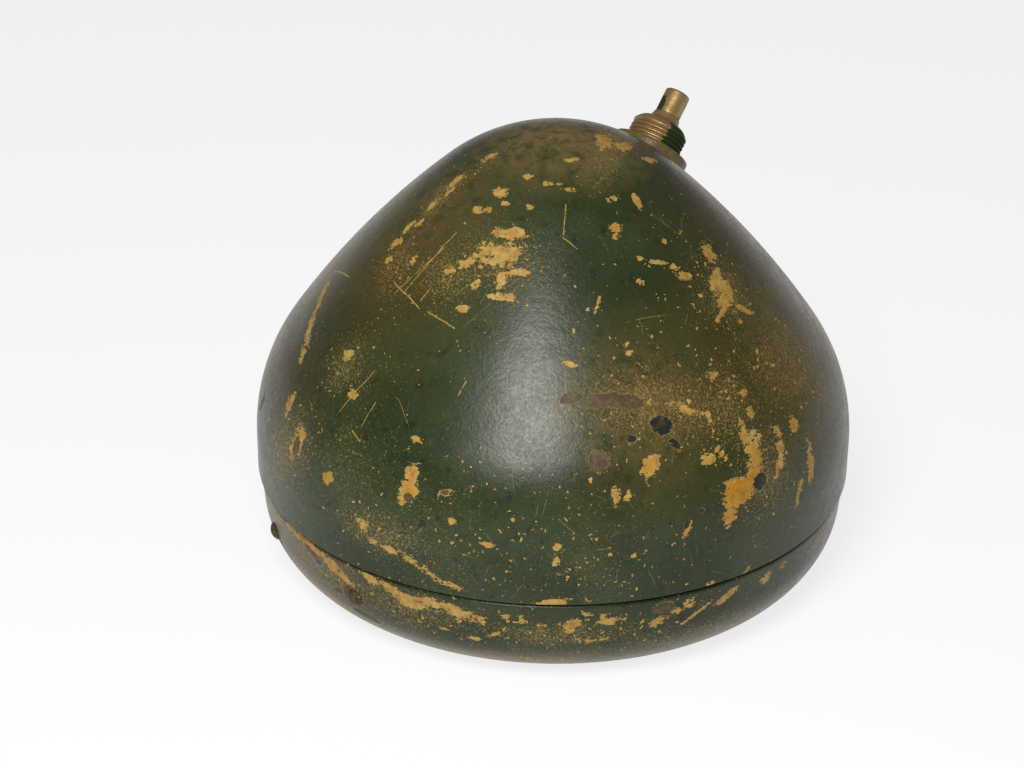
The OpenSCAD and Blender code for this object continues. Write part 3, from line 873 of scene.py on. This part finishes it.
def aged_brass(name, colours):
    """Rubbed brass that has gone brown in its hollows, with paint left where it wasn't
    rubbed off: the paint layer on the points, made ragged by noise."""
    f = Finish(name)
    cloud, fine = f.noise(230, 6, 0.6), f.noise(1400, 4, 0.6, offset=2.0)
    paint = f.step(f.layer("paint") + cloud * 1.1, 0.98, 1.06)
    dull = f.step(cloud * 0.9 + f.layer("hollow") * 0.18, 0.35, 0.75)
    base = f.blend(dull, colours.brass, colours.tarnish)
    base = f.blend(paint, base, colours.brass_paint)
    metal = (1.0 - paint) * (0.75 - dull * 0.45)
    rough = dull * 0.14 + fine * 0.15 + paint * 0.2 + 0.32
    height = fine * 0.00003 + cloud * 0.00012 + paint * 0.00008
    return f.close(base, rough, f.bump(height), metallic=metal, specular=0.25)


def rusty_steel(name, colours):
    """Rivet steel: brown rust with scraps of ochre and green paint."""
    f = Finish(name)
    cloud, fine = f.noise(420, 7, 0.65), f.noise(1800, 4, 0.6, offset=3.0)
    base = f.blend(f.step(cloud, 0.4, 0.62), colours.rust, colours.rust_dark)
    base = f.blend(f.step(cloud, 0.60, 0.64), base, colours.undercoat)
    base = f.blend(f.step(fine, 0.6, 0.7), base, colours.paint_dark)
    return f.close(base, cloud * 0.3 + 0.4, f.bump(cloud * 0.0003 + fine * 0.00005),
                   specular=0.15)


def dull_steel(name, colours):
    """Tinned steel inside: grey with soft stains and fine grain."""
    f = Finish(name)
    cloud, fine = f.noise(45, 6, 0.6), f.noise(1200, 3, 0.6, offset=2.0)
    base = f.blend(f.step(cloud, 0.5, 0.75), colours.steel, colours.rust)
    return f.close(base, cloud * 0.4 + 0.3, f.bump(cloud * 0.0001 + fine * 0.00002),
                   metallic=0.85)


def soft_matter(name, main, second, scale, rough, depth):
    """Putty, leather and fibre: two tones of mottling and a pitted surface."""
    f = Finish(name)
    cloud, fine = f.noise(scale, 7, 0.65), f.noise(scale * 5, 4, 0.6, offset=4.0)
    base = f.blend(f.step(cloud, 0.4, 0.65), main, second)
    return f.close(base, fine * 0.2 + rough, f.bump(cloud * depth + fine * (depth / 4)),
                   specular=0.3)


def finished(piece, material, body, slot, *nodes):
    """Gives a piece its material and its body and hides the frame nodes it stands for. The slot
    is not used.
    """
    piece.data.materials.clear()
    piece.data.materials.append(material)
    if nodes:
        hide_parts(*nodes)
    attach(piece, body)
    return piece


def node_finish(node, material):
    """Gives a frame node's own object a material in every slot."""
    piece = frame["nodes"][node]
    if not piece.material_slots:
        piece.data.materials.append(material)
    for slot in piece.material_slots:
        slot.material = material


# ---------------------------------------------------------------------------
# Pieces


class CANTEEN_OT_shell(bpy.types.Operator):
    """Domed shell with its skirt, the neck's hole and its inner face"""
    bl_idname = "canteen.shell"
    bl_label = "Shell"

    def execute(self, context):
        sizes = context.scene.canteen_shell
        dome = Dome(sizes)
        around = circle(SKIN_COLUMNS)
        hole = neck_point(sizes.neck_hole, around,
                          dome.up_the_neck(sizes.neck_hole, around))
        # Unrolled flat, a point lies at its distance along the dome from the crown. Each
        # column is a straight from the hole to the rim there, and is rolled back after.
        run = np.interp(-np.hypot(hole[:, 0], hole[:, 1]), -dome.table[:, 1],
                        dome.table[:, 0])
        start = (dome.total - run)[:, None] * direction(np.arctan2(hole[:, 1], hole[:, 0]))
        edge = 0.3 * MM
        end = (dome.total - edge) * direction(around)
        down, inner_rows = 206, 24
        share = np.linspace(0, 1, down)[:, None, None]
        flat = (1 - share) * start + share * end
        far = np.hypot(flat[..., 0], flat[..., 1])
        turn = np.arctan2(flat[..., 1], flat[..., 0])
        outer = dome.point(dome.total - far, turn)
        inside_radius = sizes.radius - sizes.sheet
        lip = rounded_line([(sizes.radius, edge), (sizes.radius, 0), (inside_radius, 0),
                            (inside_radius, edge)], [0, edge, edge, 0], 4)[1:-1]
        rim = revolved(lip, SKIN_COLUMNS, sizes.seam_height)
        back = np.linspace(down - 1, 0, inner_rows).round().astype(int)
        inner = dome.point(dome.total - far[back], turn[back], -sizes.sheet)
        rows = np.concatenate([outer, rim, inner])
        unrolled = np.concatenate([flat, np.repeat(flat[-1:], len(rim), 0), flat[back]])

        # wear is full on the outside, faint on the rim and absent inside
        outside = np.repeat([1.0, 0.4, 0.0], [down, len(rim), len(back)])[:, None]
        # the crown's haze comes in over 11 mm of height, from 140 mm up
        crown = np.clip((rows[..., 2] - 0.140) / 0.011, 0, 1)
        layers = wear_layers(rows, outside, SHELL_MARKS, SHELL_PATCHES, {"haze_and_sheen": crown},
                             lambda a, z: dome.point(dome.run_at_height(z), a))
        piece = surface("shell_skin", rows, loop=True, attributes=layers, uv=unrolled)

        def flat_end(a, z):
            return (dome.total - dome.run_at_height(z * MM)) * direction(math.radians(a))

        scrapes = [(flat_end(a, z), flat_end(b, y), thin * MM)
                   for a, z, b, y, thin in SHELL_SCRAPES]
        finished(piece, worn_paint("shell_paint", context.scene.canteen_colours, scrapes),
                 BODY, "shell_paint", "shell")
        return {"FINISHED"}


class CANTEEN_OT_base_pan(bpy.types.Operator):
    """Shallow base pan with its rounded lip, foot ring and raised panel"""
    bl_idname = "canteen.base_pan"
    bl_label = "Base pan"

    def execute(self, context):
        shell, pan = context.scene.canteen_shell, context.scene.canteen_pan
        line, wall, shown = pan_line(shell, pan)
        rows = revolved(line, SKIN_COLUMNS, shell.seam_height)
        reach = np.concatenate([[0], np.cumsum(np.linalg.norm(np.diff(line, axis=0), axis=1))])
        around = (circle(SKIN_COLUMNS) + math.pi / 2) % (2 * math.pi) - math.pi / 2
        unrolled = np.stack(np.broadcast_arrays(around * shell.radius, reach[:, None]), -1)

        def place(a, z):
            r = np.interp(-(z - shell.seam_height), -wall[:, 1], wall[:, 0])
            return np.array([*(r * direction(a)), z])

        outside = (np.arange(len(line)) < shown)[:, None]
        # a tan film and a little brown stain come in over 12 mm of height, from 16 mm down:
        # partly grime, partly a painted warm reflection from below
        low = np.clip((0.016 - rows[..., 2]) / 0.012, 0, 1)
        layers = wear_layers(rows, outside, PAN_MARKS, PAN_PATCHES,
                             {"haze_and_sheen": 0.9 * low, "stain": 0.3 * low}, place)
        piece = surface("base_pan_skin", rows, poles=(True, True), attributes=layers,
                        uv=unrolled)
        finished(piece, worn_paint("pan_paint", context.scene.canteen_colours, chippy=0.012),
                 BODY, "pan_paint", "base_pan")
        return {"FINISHED"}


def pan_corner(shell, pan):
    """The pan's top radius, and the middle of its corner arc, with heights from the seam."""
    top = shell.radius - pan.overhang
    height = pan.corner - shell.seam_height
    tangent = height - pan.corner * math.sin(pan.draft)
    radius = top + tangent * math.tan(pan.draft) - pan.corner * math.cos(pan.draft)
    return top, np.array([radius, height])


def pan_line(shell, pan):
    """Side view of the pan, heights from the seam, the part of it that is the wall, and how
    many of its points are on the outside.

    It runs from the middle of the underside out over the foot ring, up the corner arc and
    the leaning wall, over the lip and up the neck, and back down inside.
    """
    deep, sheet, rise = shell.seam_height, shell.sheet, pan.panel_rise
    top, centre = pan_corner(shell, pan)
    foot = centre[0] - pan.foot
    panel = foot - 2 * rise
    neck = top - pan.lip
    lip_foot = pan.seam_gap + pan.lip
    under = rounded_line([(0, rise - deep), (panel, rise - deep), (foot, -deep),
                          (centre[0], -deep)], [0, 4 * MM, 2 * MM, 0])
    corner = arc(centre, pan.corner, -math.pi / 2, -pan.draft, 48)
    bead = arc((neck, -lip_foot), pan.lip, 0.07, math.pi / 2, 10)
    up = np.array([[neck, pan.neck_reach - 0.4 * MM], [neck - 0.4 * MM, pan.neck_reach],
                   [neck - sheet, pan.neck_reach]])
    below_lip = lip_foot + 0.6 * MM
    inside = np.concatenate([
        [[neck - sheet, -pan.seam_gap - 0.4 * MM],
         [top - below_lip * math.tan(pan.draft) - sheet, -below_lip]],
        arc(centre, pan.corner - sheet, -pan.draft, -math.pi / 2, 16),
        [[foot + 0.5 * MM, sheet - deep], [panel + 0.5 * MM, rise + sheet - deep],
         [0, rise + sheet - deep]]])
    outer = np.concatenate([along(under, 3 * MM), corner[1:],
                            along([corner[-1], bead[0]], 0.8 * MM)[1:-1], bead,
                            along([bead[-1], up[0]], 2 * MM)[1:-1], up])
    wall = outer[(outer[:, 1] > 1 * MM - deep) & (outer[:, 1] < -pan.seam_gap)
                 & (outer[:, 0] > centre[0])][::-1]
    return np.concatenate([outer, along(inside, 3 * MM)]), wall, len(outer)


class CANTEEN_OT_seam(bpy.types.Operator):
    """Dark putty behind the seam, on the frame's own solid"""
    bl_idname = "canteen.seam"
    bl_label = "Seam putty"

    def execute(self, context):
        colours = context.scene.canteen_colours
        node_finish("seam_seal", soft_matter("seam_filler", colours.putty, colours.rust,
                                             160, 0.6, 0.0003))
        return {"FINISHED"}


class CANTEEN_OT_rivets(bpy.types.Operator):
    """Two hammered rivet heads with their shanks and flat inner heads"""
    bl_idname = "canteen.rivets"
    bl_label = "Hoop rivets"

    def execute(self, context):
        shell, pan = context.scene.canteen_shell, context.scene.canteen_pan
        centre = pan_corner(shell, pan)[1]
        dip = math.asin((pan.rivet_drop + centre[1]) / pan.corner)
        spot_radius = centre[0] + pan.corner * math.cos(dip)
        spot_height = shell.seam_height + centre[1] - pan.corner * math.sin(dip)
        cap = (pan.rivet_head ** 2 + pan.rivet_rise ** 2) / (2 * pan.rivet_rise)
        lift = 0.1 * MM
        slope = np.linspace(0, math.asin(pan.rivet_head / cap), 16)
        head = np.stack([cap * np.sin(slope), lift + pan.rivet_rise - cap * (1 - np.cos(slope))],
                        axis=1)
        shank, foot, flat = pan.rivet_shank, -5.6 * MM, 1.1 * MM
        inner = rounded_line([(pan.rivet_head, lift), (shank, lift), (shank, foot + flat),
                              (shank + 0.8 * MM, foot + flat), (shank + 0.8 * MM, foot),
                              (0, foot)], [0, 0, 0, 0.2 * MM, 0.3 * MM, 0])
        line = np.concatenate([head, inner[1:]])
        turn = circle(48)
        made = []
        for k in range(2):
            a = pan.rivet_angle - k * pan.rivet_pitch
            ahead = np.array([*direction(a), 0.0])
            level = np.array([-math.sin(a), math.cos(a), 0.0])
            out = math.cos(dip) * ahead - math.sin(dip) * np.array([0.0, 0.0, 1.0])
            upward = np.cross(out, level)
            spot = spot_radius * ahead + np.array([0.0, 0.0, spot_height])
            # hammered: the head is out of round by a twentieth, and one side of it is
            # flattened by up to 12 parts in a hundred
            r = line[:, :1] * (1 + 0.05 * np.cos(2 * turn + 1.3 * k) * (line[:, 1:] > 0))
            h = line[:, 1:] * (1 - 0.12 * (line[:, 1:] > 0)
                               * np.clip(np.cos(turn - 0.8 - k), 0, 1) * r / pan.rivet_head)
            rows = (spot + (r * np.cos(turn))[..., None] * level
                    + (r * np.sin(turn))[..., None] * upward + h[..., None] * out)
            made.append(surface(f"rivet_part_{k}", rows, poles=(True, True)))
        piece = joined("rivet_heads", made)
        finished(piece, rusty_steel("rivet_steel", context.scene.canteen_colours), BODY,
                 "rivet_steel", "hoop_rivets")
        return {"FINISHED"}


class CANTEEN_OT_boss(bpy.types.Operator):
    """Flanged boss that follows the shell under its flange, with a threaded bore"""
    bl_idname = "canteen.boss"
    bl_label = "Neck boss"

    def execute(self, context):
        fit, dome = context.scene.canteen_fitting, Dome(context.scene.canteen_shell)
        turn = circle(NECK_COLUMNS)
        face, ledge, bevel = fit.flange_height, -fit.ledge_depth, 0.5 * MM
        foot = ledge - 2 * MM
        under = [(r, dome.up_the_neck(r, turn, 0.65 * MM))
                 for r in (fit.tube, fit.flange - 0.3 * MM, fit.flange)]
        top = rounded_line([(fit.flange, face - 1.6 * MM), (fit.flange, face),
                            (fit.bore + bevel, face), (fit.bore, face - bevel)],
                           [0, 1.1 * MM, 0.2 * MM, 0], 8)
        rows = [(fit.ledge, foot), (fit.tube - 0.4 * MM, foot), (fit.tube, foot + 0.4 * MM),
                *under, *top]
        bore = along([(fit.bore, face - bevel), (fit.bore, ledge)], fit.pitch / 8)[1:, 1:]
        # the thread's groove is a ridge of the pitch that winds round the bore
        phase = (bore / fit.pitch - turn / (2 * math.pi)) % 1
        inside = (np.clip((bore - ledge - 0.4 * MM) / (1 * MM), 0, 1)
                  * np.clip((face - 0.8 * MM - bore) / (1 * MM), 0, 1))
        groove = 0.5 * MM * inside * (1 - np.abs(2 * phase - 1)) ** 1.3
        full = np.ones((1, NECK_COLUMNS))
        radius = np.concatenate([*(r * full for r, _ in rows), fit.bore + groove,
                                 fit.ledge * full])
        height = np.concatenate([*(h * full for _, h in rows), bore * full, ledge * full])
        edge = np.exp(-((radius - fit.flange) / (0.8 * MM)) ** 2) * (height > 0)
        layers = {name: np.zeros(radius.shape) for name in WEAR}
        layers["chip"] += 0.2 * edge
        layers["dust"] += 0.1
        layers["haze_and_sheen"] += 0.8
        unrolled = np.stack(np.broadcast_arrays(turn * fit.flange, height), -1)
        piece = surface("boss_skin", neck_point(radius, turn[None], height), loop=True,
                        attributes=layers, uv=unrolled)
        finished(piece, worn_paint("boss_paint", context.scene.canteen_colours), BODY,
                 "boss_paint", "neck_boss")
        return {"FINISHED"}


class CANTEEN_OT_plug(bpy.types.Operator):
    """Brass filler plug with a right-hand thread, rounded shoulder and washer groove"""
    bl_idname = "canteen.plug"
    bl_label = "Filler plug"

    def execute(self, context):
        fit = context.scene.canteen_fitting
        turn = circle(128)
        top = fit.collar + fit.shoulder
        neck = fit.stem + 0.4 * MM
        hole = fit.spigot + 0.03 * MM
        groove_top = -fit.thread_foot
        lip_top = groove_top - fit.washer - 0.3 * MM
        low = rounded_line([(hole, -fit.nose_depth), (fit.nose, -fit.nose_depth),
                            (fit.nose, lip_top), (fit.groove, lip_top),
                            (fit.groove, groove_top),
                            (fit.thread - fit.thread_depth, groove_top)],
                           [0, 0.2 * MM, 0.1 * MM, 0, 0, 0], 4)
        crest = fit.collar - 0.7 * MM
        waist = 0.25 * MM
        shaft = along([(fit.thread, groove_top), (fit.thread, crest)], fit.pitch / 12)
        # rounded shoulder: convex at the collar's edge and hollow where it meets the stem
        knee = rounded_line([(fit.thread - waist, crest), (fit.thread, crest + 0.35 * MM),
                             (fit.thread, fit.collar),
                             (neck + 3.3 * MM, fit.collar + 2.1 * MM),
                             (neck + 0.6 * MM, fit.collar + 3.1 * MM), (neck, top)],
                            [0, 0.3 * MM, 1.4 * MM, 1.4 * MM, 1.4 * MM, 0], 9)
        line = np.concatenate([low, shaft, knee, [(hole, top)]])
        radius, height = (line[:, k:k + 1] + np.zeros(len(turn)) for k in (0, 1))
        # The ridge winds up the shaft by one pitch a turn: its depth below the crest is a
        # rounded wave of height / pitch - turn, which fades out at both ends.
        threaded = slice(len(low), len(low) + len(shaft))
        h = height[threaded]
        phase = (h / fit.pitch - turn / (2 * math.pi)) % 1
        wave = np.clip(np.abs(2 * phase - 1) * 1.5 - 0.3, 0, 1)
        wave = wave * wave * (3 - 2 * wave)
        ends = np.clip((h - groove_top) / (0.6 * MM), 0, 1)
        fade = np.clip((crest - h) / (0.5 * MM), 0, 1)
        cut = fit.thread_depth * (1 - (1 - wave) * ends)
        radius[threaded] -= np.where(h > crest - 0.5 * MM, cut * fade + waist * (1 - fade), cut)
        hollow = np.clip((fit.thread - radius) / fit.thread_depth, 0, 1) * (height < fit.collar)
        # dark green paint lies on one side of the plug, centred 34 degrees round the neck
        side = np.cos(turn - math.radians(34))
        paint = np.clip(1.5 * side + 0.02 + 0.08 * hollow, 0, 1) * (height < fit.collar + 2 * MM)
        piece = surface("plug_skin", neck_point(radius, turn[None], height), loop=True,
                        attributes={"hollow": hollow, "paint": paint})
        finished(piece, aged_brass("plug_brass", context.scene.canteen_colours),
                 "filler_plug", "plug_brass", "filler_plug")
        return {"FINISHED"}


class CANTEEN_OT_stem(bpy.types.Operator):
    """Brass drinking stem with its bore and rounded mouth, and the ring at its foot"""
    bl_idname = "canteen.stem"
    bl_label = "Stem and collar"

    def execute(self, context):
        fit, colours = context.scene.canteen_fitting, context.scene.canteen_colours
        foot = fit.collar + fit.shoulder
        tip = foot + fit.stem_length
        ring_top = foot + fit.collar_ring
        seat = ring_top + 0.05 * MM
        low = -fit.nose_depth + 0.1 * MM
        line = rounded_line([(fit.stem_bore, low), (fit.spigot, low), (fit.spigot, seat),
                             (fit.stem, seat), (fit.stem, tip), (fit.stem_bore, tip),
                             (fit.stem_bore, foot)],
                            [0, 0, 0, 0.1 * MM, 1.1 * MM, 0.5 * MM, 0], 8)
        line = along(line[:-1], 1 * MM)
        height = line[:, 1:] + np.zeros(NECK_COLUMNS)
        side = np.cos(circle(NECK_COLUMNS) - math.radians(212))
        paint = np.clip(1.4 * side - 0.35, 0, 1) * (height > foot) * (height < tip - 3 * MM)
        hollow = np.clip(1 - (height - foot) / (3 * MM), 0, 1) * 0.6
        material = aged_brass("stem_brass", colours)
        piece = surface("stem_skin", turned_on_neck(line), loop=True,
                        attributes={"hollow": hollow, "paint": paint})
        finished(piece, material, "filler_plug", "stem_brass", "drinking_stem")

        hole, low = fit.spigot + 0.03 * MM, foot + 0.05 * MM
        ring = rounded_line([(hole, low), (fit.stem + 0.4 * MM, low),
                             (fit.stem + 0.34 * MM, foot + 0.35 * MM),
                             (fit.stem + 0.12 * MM, ring_top), (hole, ring_top)],
                            [0, 0.04 * MM, 0.2 * MM, 0.1 * MM, 0], 6)
        dark = np.full((len(ring), NECK_COLUMNS), 0.4)
        piece = surface("collar_skin", turned_on_neck(ring), loop=True,
                        attributes={"hollow": dark, "paint": 0 * dark})
        finished(piece, material, "filler_plug", "plug_brass", "stem_collar")
        return {"FINISHED"}


class CANTEEN_OT_seals(bpy.types.Operator):
    """Leather washer on the plug's nose and fibre gasket under the boss"""
    bl_idname = "canteen.seals"
    bl_label = "Washer and gasket"

    def execute(self, context):
        fit, colours = context.scene.canteen_fitting, context.scene.canteen_colours
        dome = Dome(context.scene.canteen_shell)
        play = 0.15 * MM
        hole, rim = fit.groove + play, fit.thread - 0.4 * MM
        top = -fit.thread_foot - play
        foot = top - fit.washer
        line = rounded_line([(hole, foot), (rim, foot), (rim, top), (hole, top)],
                            [0, 0.5 * MM, 0.5 * MM, 0], 8)
        piece = surface("washer_leather_ring", turned_on_neck(along(line, 0.5 * MM)), loop=True)
        finished(piece, soft_matter("washer_leather", colours.leather, colours.rust, 500, 0.5,
                                    0.0001), "nose_washer", "washer_leather", "plug_washer")
        turn = circle(NECK_COLUMNS)
        radii = np.linspace(fit.tube + play, fit.flange - 0.2 * MM, 4)
        faces = ([(r, 0.05 * MM) for r in radii] + [(r, 0.58 * MM) for r in radii[::-1]])
        rows = np.stack([neck_point(r, turn, dome.up_the_neck(r, turn, off))
                         for r, off in faces])
        piece = surface("gasket_ring", rows, loop=True)
        finished(piece, soft_matter("gasket_fibre", colours.fibre, colours.putty, 400, 0.7,
                                    0.0001), BODY, "gasket_fibre", "boss_gasket")
        return {"FINISHED"}


class CANTEEN_OT_inside(bpy.types.Operator):
    """Steel parts inside: hoop, splice, rivet washers, backing ring and nut"""
    bl_idname = "canteen.inside"
    bl_label = "Inner steel"

    def execute(self, context):
        steel = dull_steel("bare_steel", context.scene.canteen_colours)
        for node in ("inner_hoop", "hoop_splice", "rivet_burrs", "backing_ring", "boss_nut"):
            node_finish(node, steel)
        return {"FINISHED"}


class CANTEEN_OT_stage(bpy.types.Operator):
    """Pale floor, even room light, one soft key lamp and the camera"""
    bl_idname = "canteen.stage"
    bl_label = "Stage"

    def execute(self, context):
        scene, stage = context.scene, context.scene.canteen_stage
        middle = Vector((0, 0, scene.canteen_shell.seam_height))
        self.add_floor(stage)
        self.add_room(scene, stage)
        self.add_key(scene, stage, middle)
        self.add_camera(scene, stage, middle)
        scene.view_settings.view_transform = "Standard"
        return {"FINISHED"}

    def add_floor(self, stage):
        """A wide floor that the camera and reflections see as nearly white."""
        half = 12.0
        corners = np.array([[-half, -half, 0], [half, -half, 0], [half, half, 0],
                            [-half, half, 0]])
        floor = mesh_object("studio_floor", corners, np.array([[0, 1, 2, 3]]),
                            np.zeros((0, 3), int))
        f = Finish("studio_floor")
        tone = f.blend(f.noise(6, 2), stage.floor, [min(1.0, c * 1.04) for c in stage.floor])
        lit = f.add("BsdfDiffuse", feeds={"Color": tone})
        white = f.add("Emission", feeds={"Color": (1, 1, 1), "Strength": 1.0})
        seen = f.most(*f.wires(f.node("LightPath"), "Is Camera Ray", "Is Glossy Ray",
                               "Is Transmission Ray"))
        floor.data.materials.append(
            f.output(f.add("MixShader", feeds={0: seen * 0.8, 1: lit, 2: white})))

    def add_room(self, scene, stage):
        """Even white light from all round."""
        world = bpy.data.worlds.new("studio_room")
        scene.world = world
        world.use_nodes = True
        nodes, links = world.node_tree.nodes, world.node_tree.links
        nodes.clear()
        room, out = nodes.new("ShaderNodeBackground"), nodes.new("ShaderNodeOutputWorld")
        room.inputs["Color"].default_value = (1.0, 1.0, 1.0, 1.0)
        room.inputs["Strength"].default_value = stage.sky
        links.new(room.outputs[0], out.inputs["Surface"])

    def add_key(self, scene, stage, middle):
        """The soft lamp, above and in front, turned towards the dome."""
        lamp = bpy.data.lights.new("soft_key", "AREA")
        lamp.shape, lamp.size, lamp.energy = "DISK", stage.key_size, stage.key_power
        lamp.color = (1.0, 0.985, 0.96)
        key = bpy.data.objects.new("soft_key", lamp)
        scene.collection.objects.link(key)
        key.location = middle + Vector((0.28, -0.56, 0.63))
        aim = middle + Vector((0, 0, 0.05)) - key.location
        key.rotation_euler = aim.to_track_quat("-Z", "Y").to_euler()

    def add_camera(self, scene, stage, middle):
        """The camera, at its two angles and its distance from the middle of the seam."""
        level, rise = stage.around, stage.above
        towards = Vector((math.sin(level) * math.cos(rise), -math.cos(level) * math.cos(rise),
                          math.sin(rise)))
        data = bpy.data.cameras.new("camera")
        data.sensor_width, data.lens = 36.0, stage.lens
        data.shift_x, data.shift_y = stage.shift_across, stage.shift_up
        data.clip_start, data.clip_end = 0.01, 20.0
        camera = bpy.data.objects.new("camera", data)
        scene.collection.objects.link(camera)
        camera.location = middle + towards * stage.distance
        camera.rotation_mode = "QUATERNION"
        camera.rotation_quaternion = ((-towards).to_track_quat("-Z", "Y")
                                      @ Quaternion((0, 0, 1), stage.roll))
        scene.camera = camera


OPERATORS = (CANTEEN_OT_shell, CANTEEN_OT_base_pan, CANTEEN_OT_seam, CANTEEN_OT_rivets,
             CANTEEN_OT_boss, CANTEEN_OT_plug, CANTEEN_OT_stem, CANTEEN_OT_seals,
             CANTEEN_OT_inside, CANTEEN_OT_stage)


class CANTEEN_PT_panel(bpy.types.Panel):
    """Buttons for the canteen's pieces and its stage"""
    bl_label = "Canteen"
    bl_idname = "CANTEEN_PT_panel"
    bl_space_type = "VIEW_3D"
    bl_region_type = "UI"
    bl_category = "Canteen"

    def draw(self, context):
        for operator in OPERATORS:
            self.layout.operator(operator.bl_idname)
        for group in GROUPS:
            settings = getattr(context.scene, group)
            box = self.layout.box()
            for key in settings.__annotations__:
                box.prop(settings, key)


GROUPS = {"canteen_shell": CanteenShellSizes, "canteen_pan": CanteenPanSizes,
          "canteen_fitting": CanteenFittingSizes, "canteen_colours": CanteenColours,
          "canteen_stage": CanteenStageSettings}


def register():
    """Registers the settings, the operators and the panel."""
    for name, group in GROUPS.items():
        bpy.utils.register_class(group)
        setattr(bpy.types.Scene, name, PointerProperty(type=group))
    for item in OPERATORS + (CANTEEN_PT_panel,):
        bpy.utils.register_class(item)


def unregister():
    """Takes them away again, in the opposite order."""
    for item in reversed(OPERATORS + (CANTEEN_PT_panel,)):
        bpy.utils.unregister_class(item)
    for name, group in reversed(list(GROUPS.items())):
        delattr(bpy.types.Scene, name)
        bpy.utils.unregister_class(group)


def main():
    """Registers everything and builds each piece in order."""
    register()
    for operator in OPERATORS:
        group, name = operator.bl_idname.split(".")
        getattr(getattr(bpy.ops, group), name)()
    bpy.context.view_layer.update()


if __name__ == "__main__":
    main()
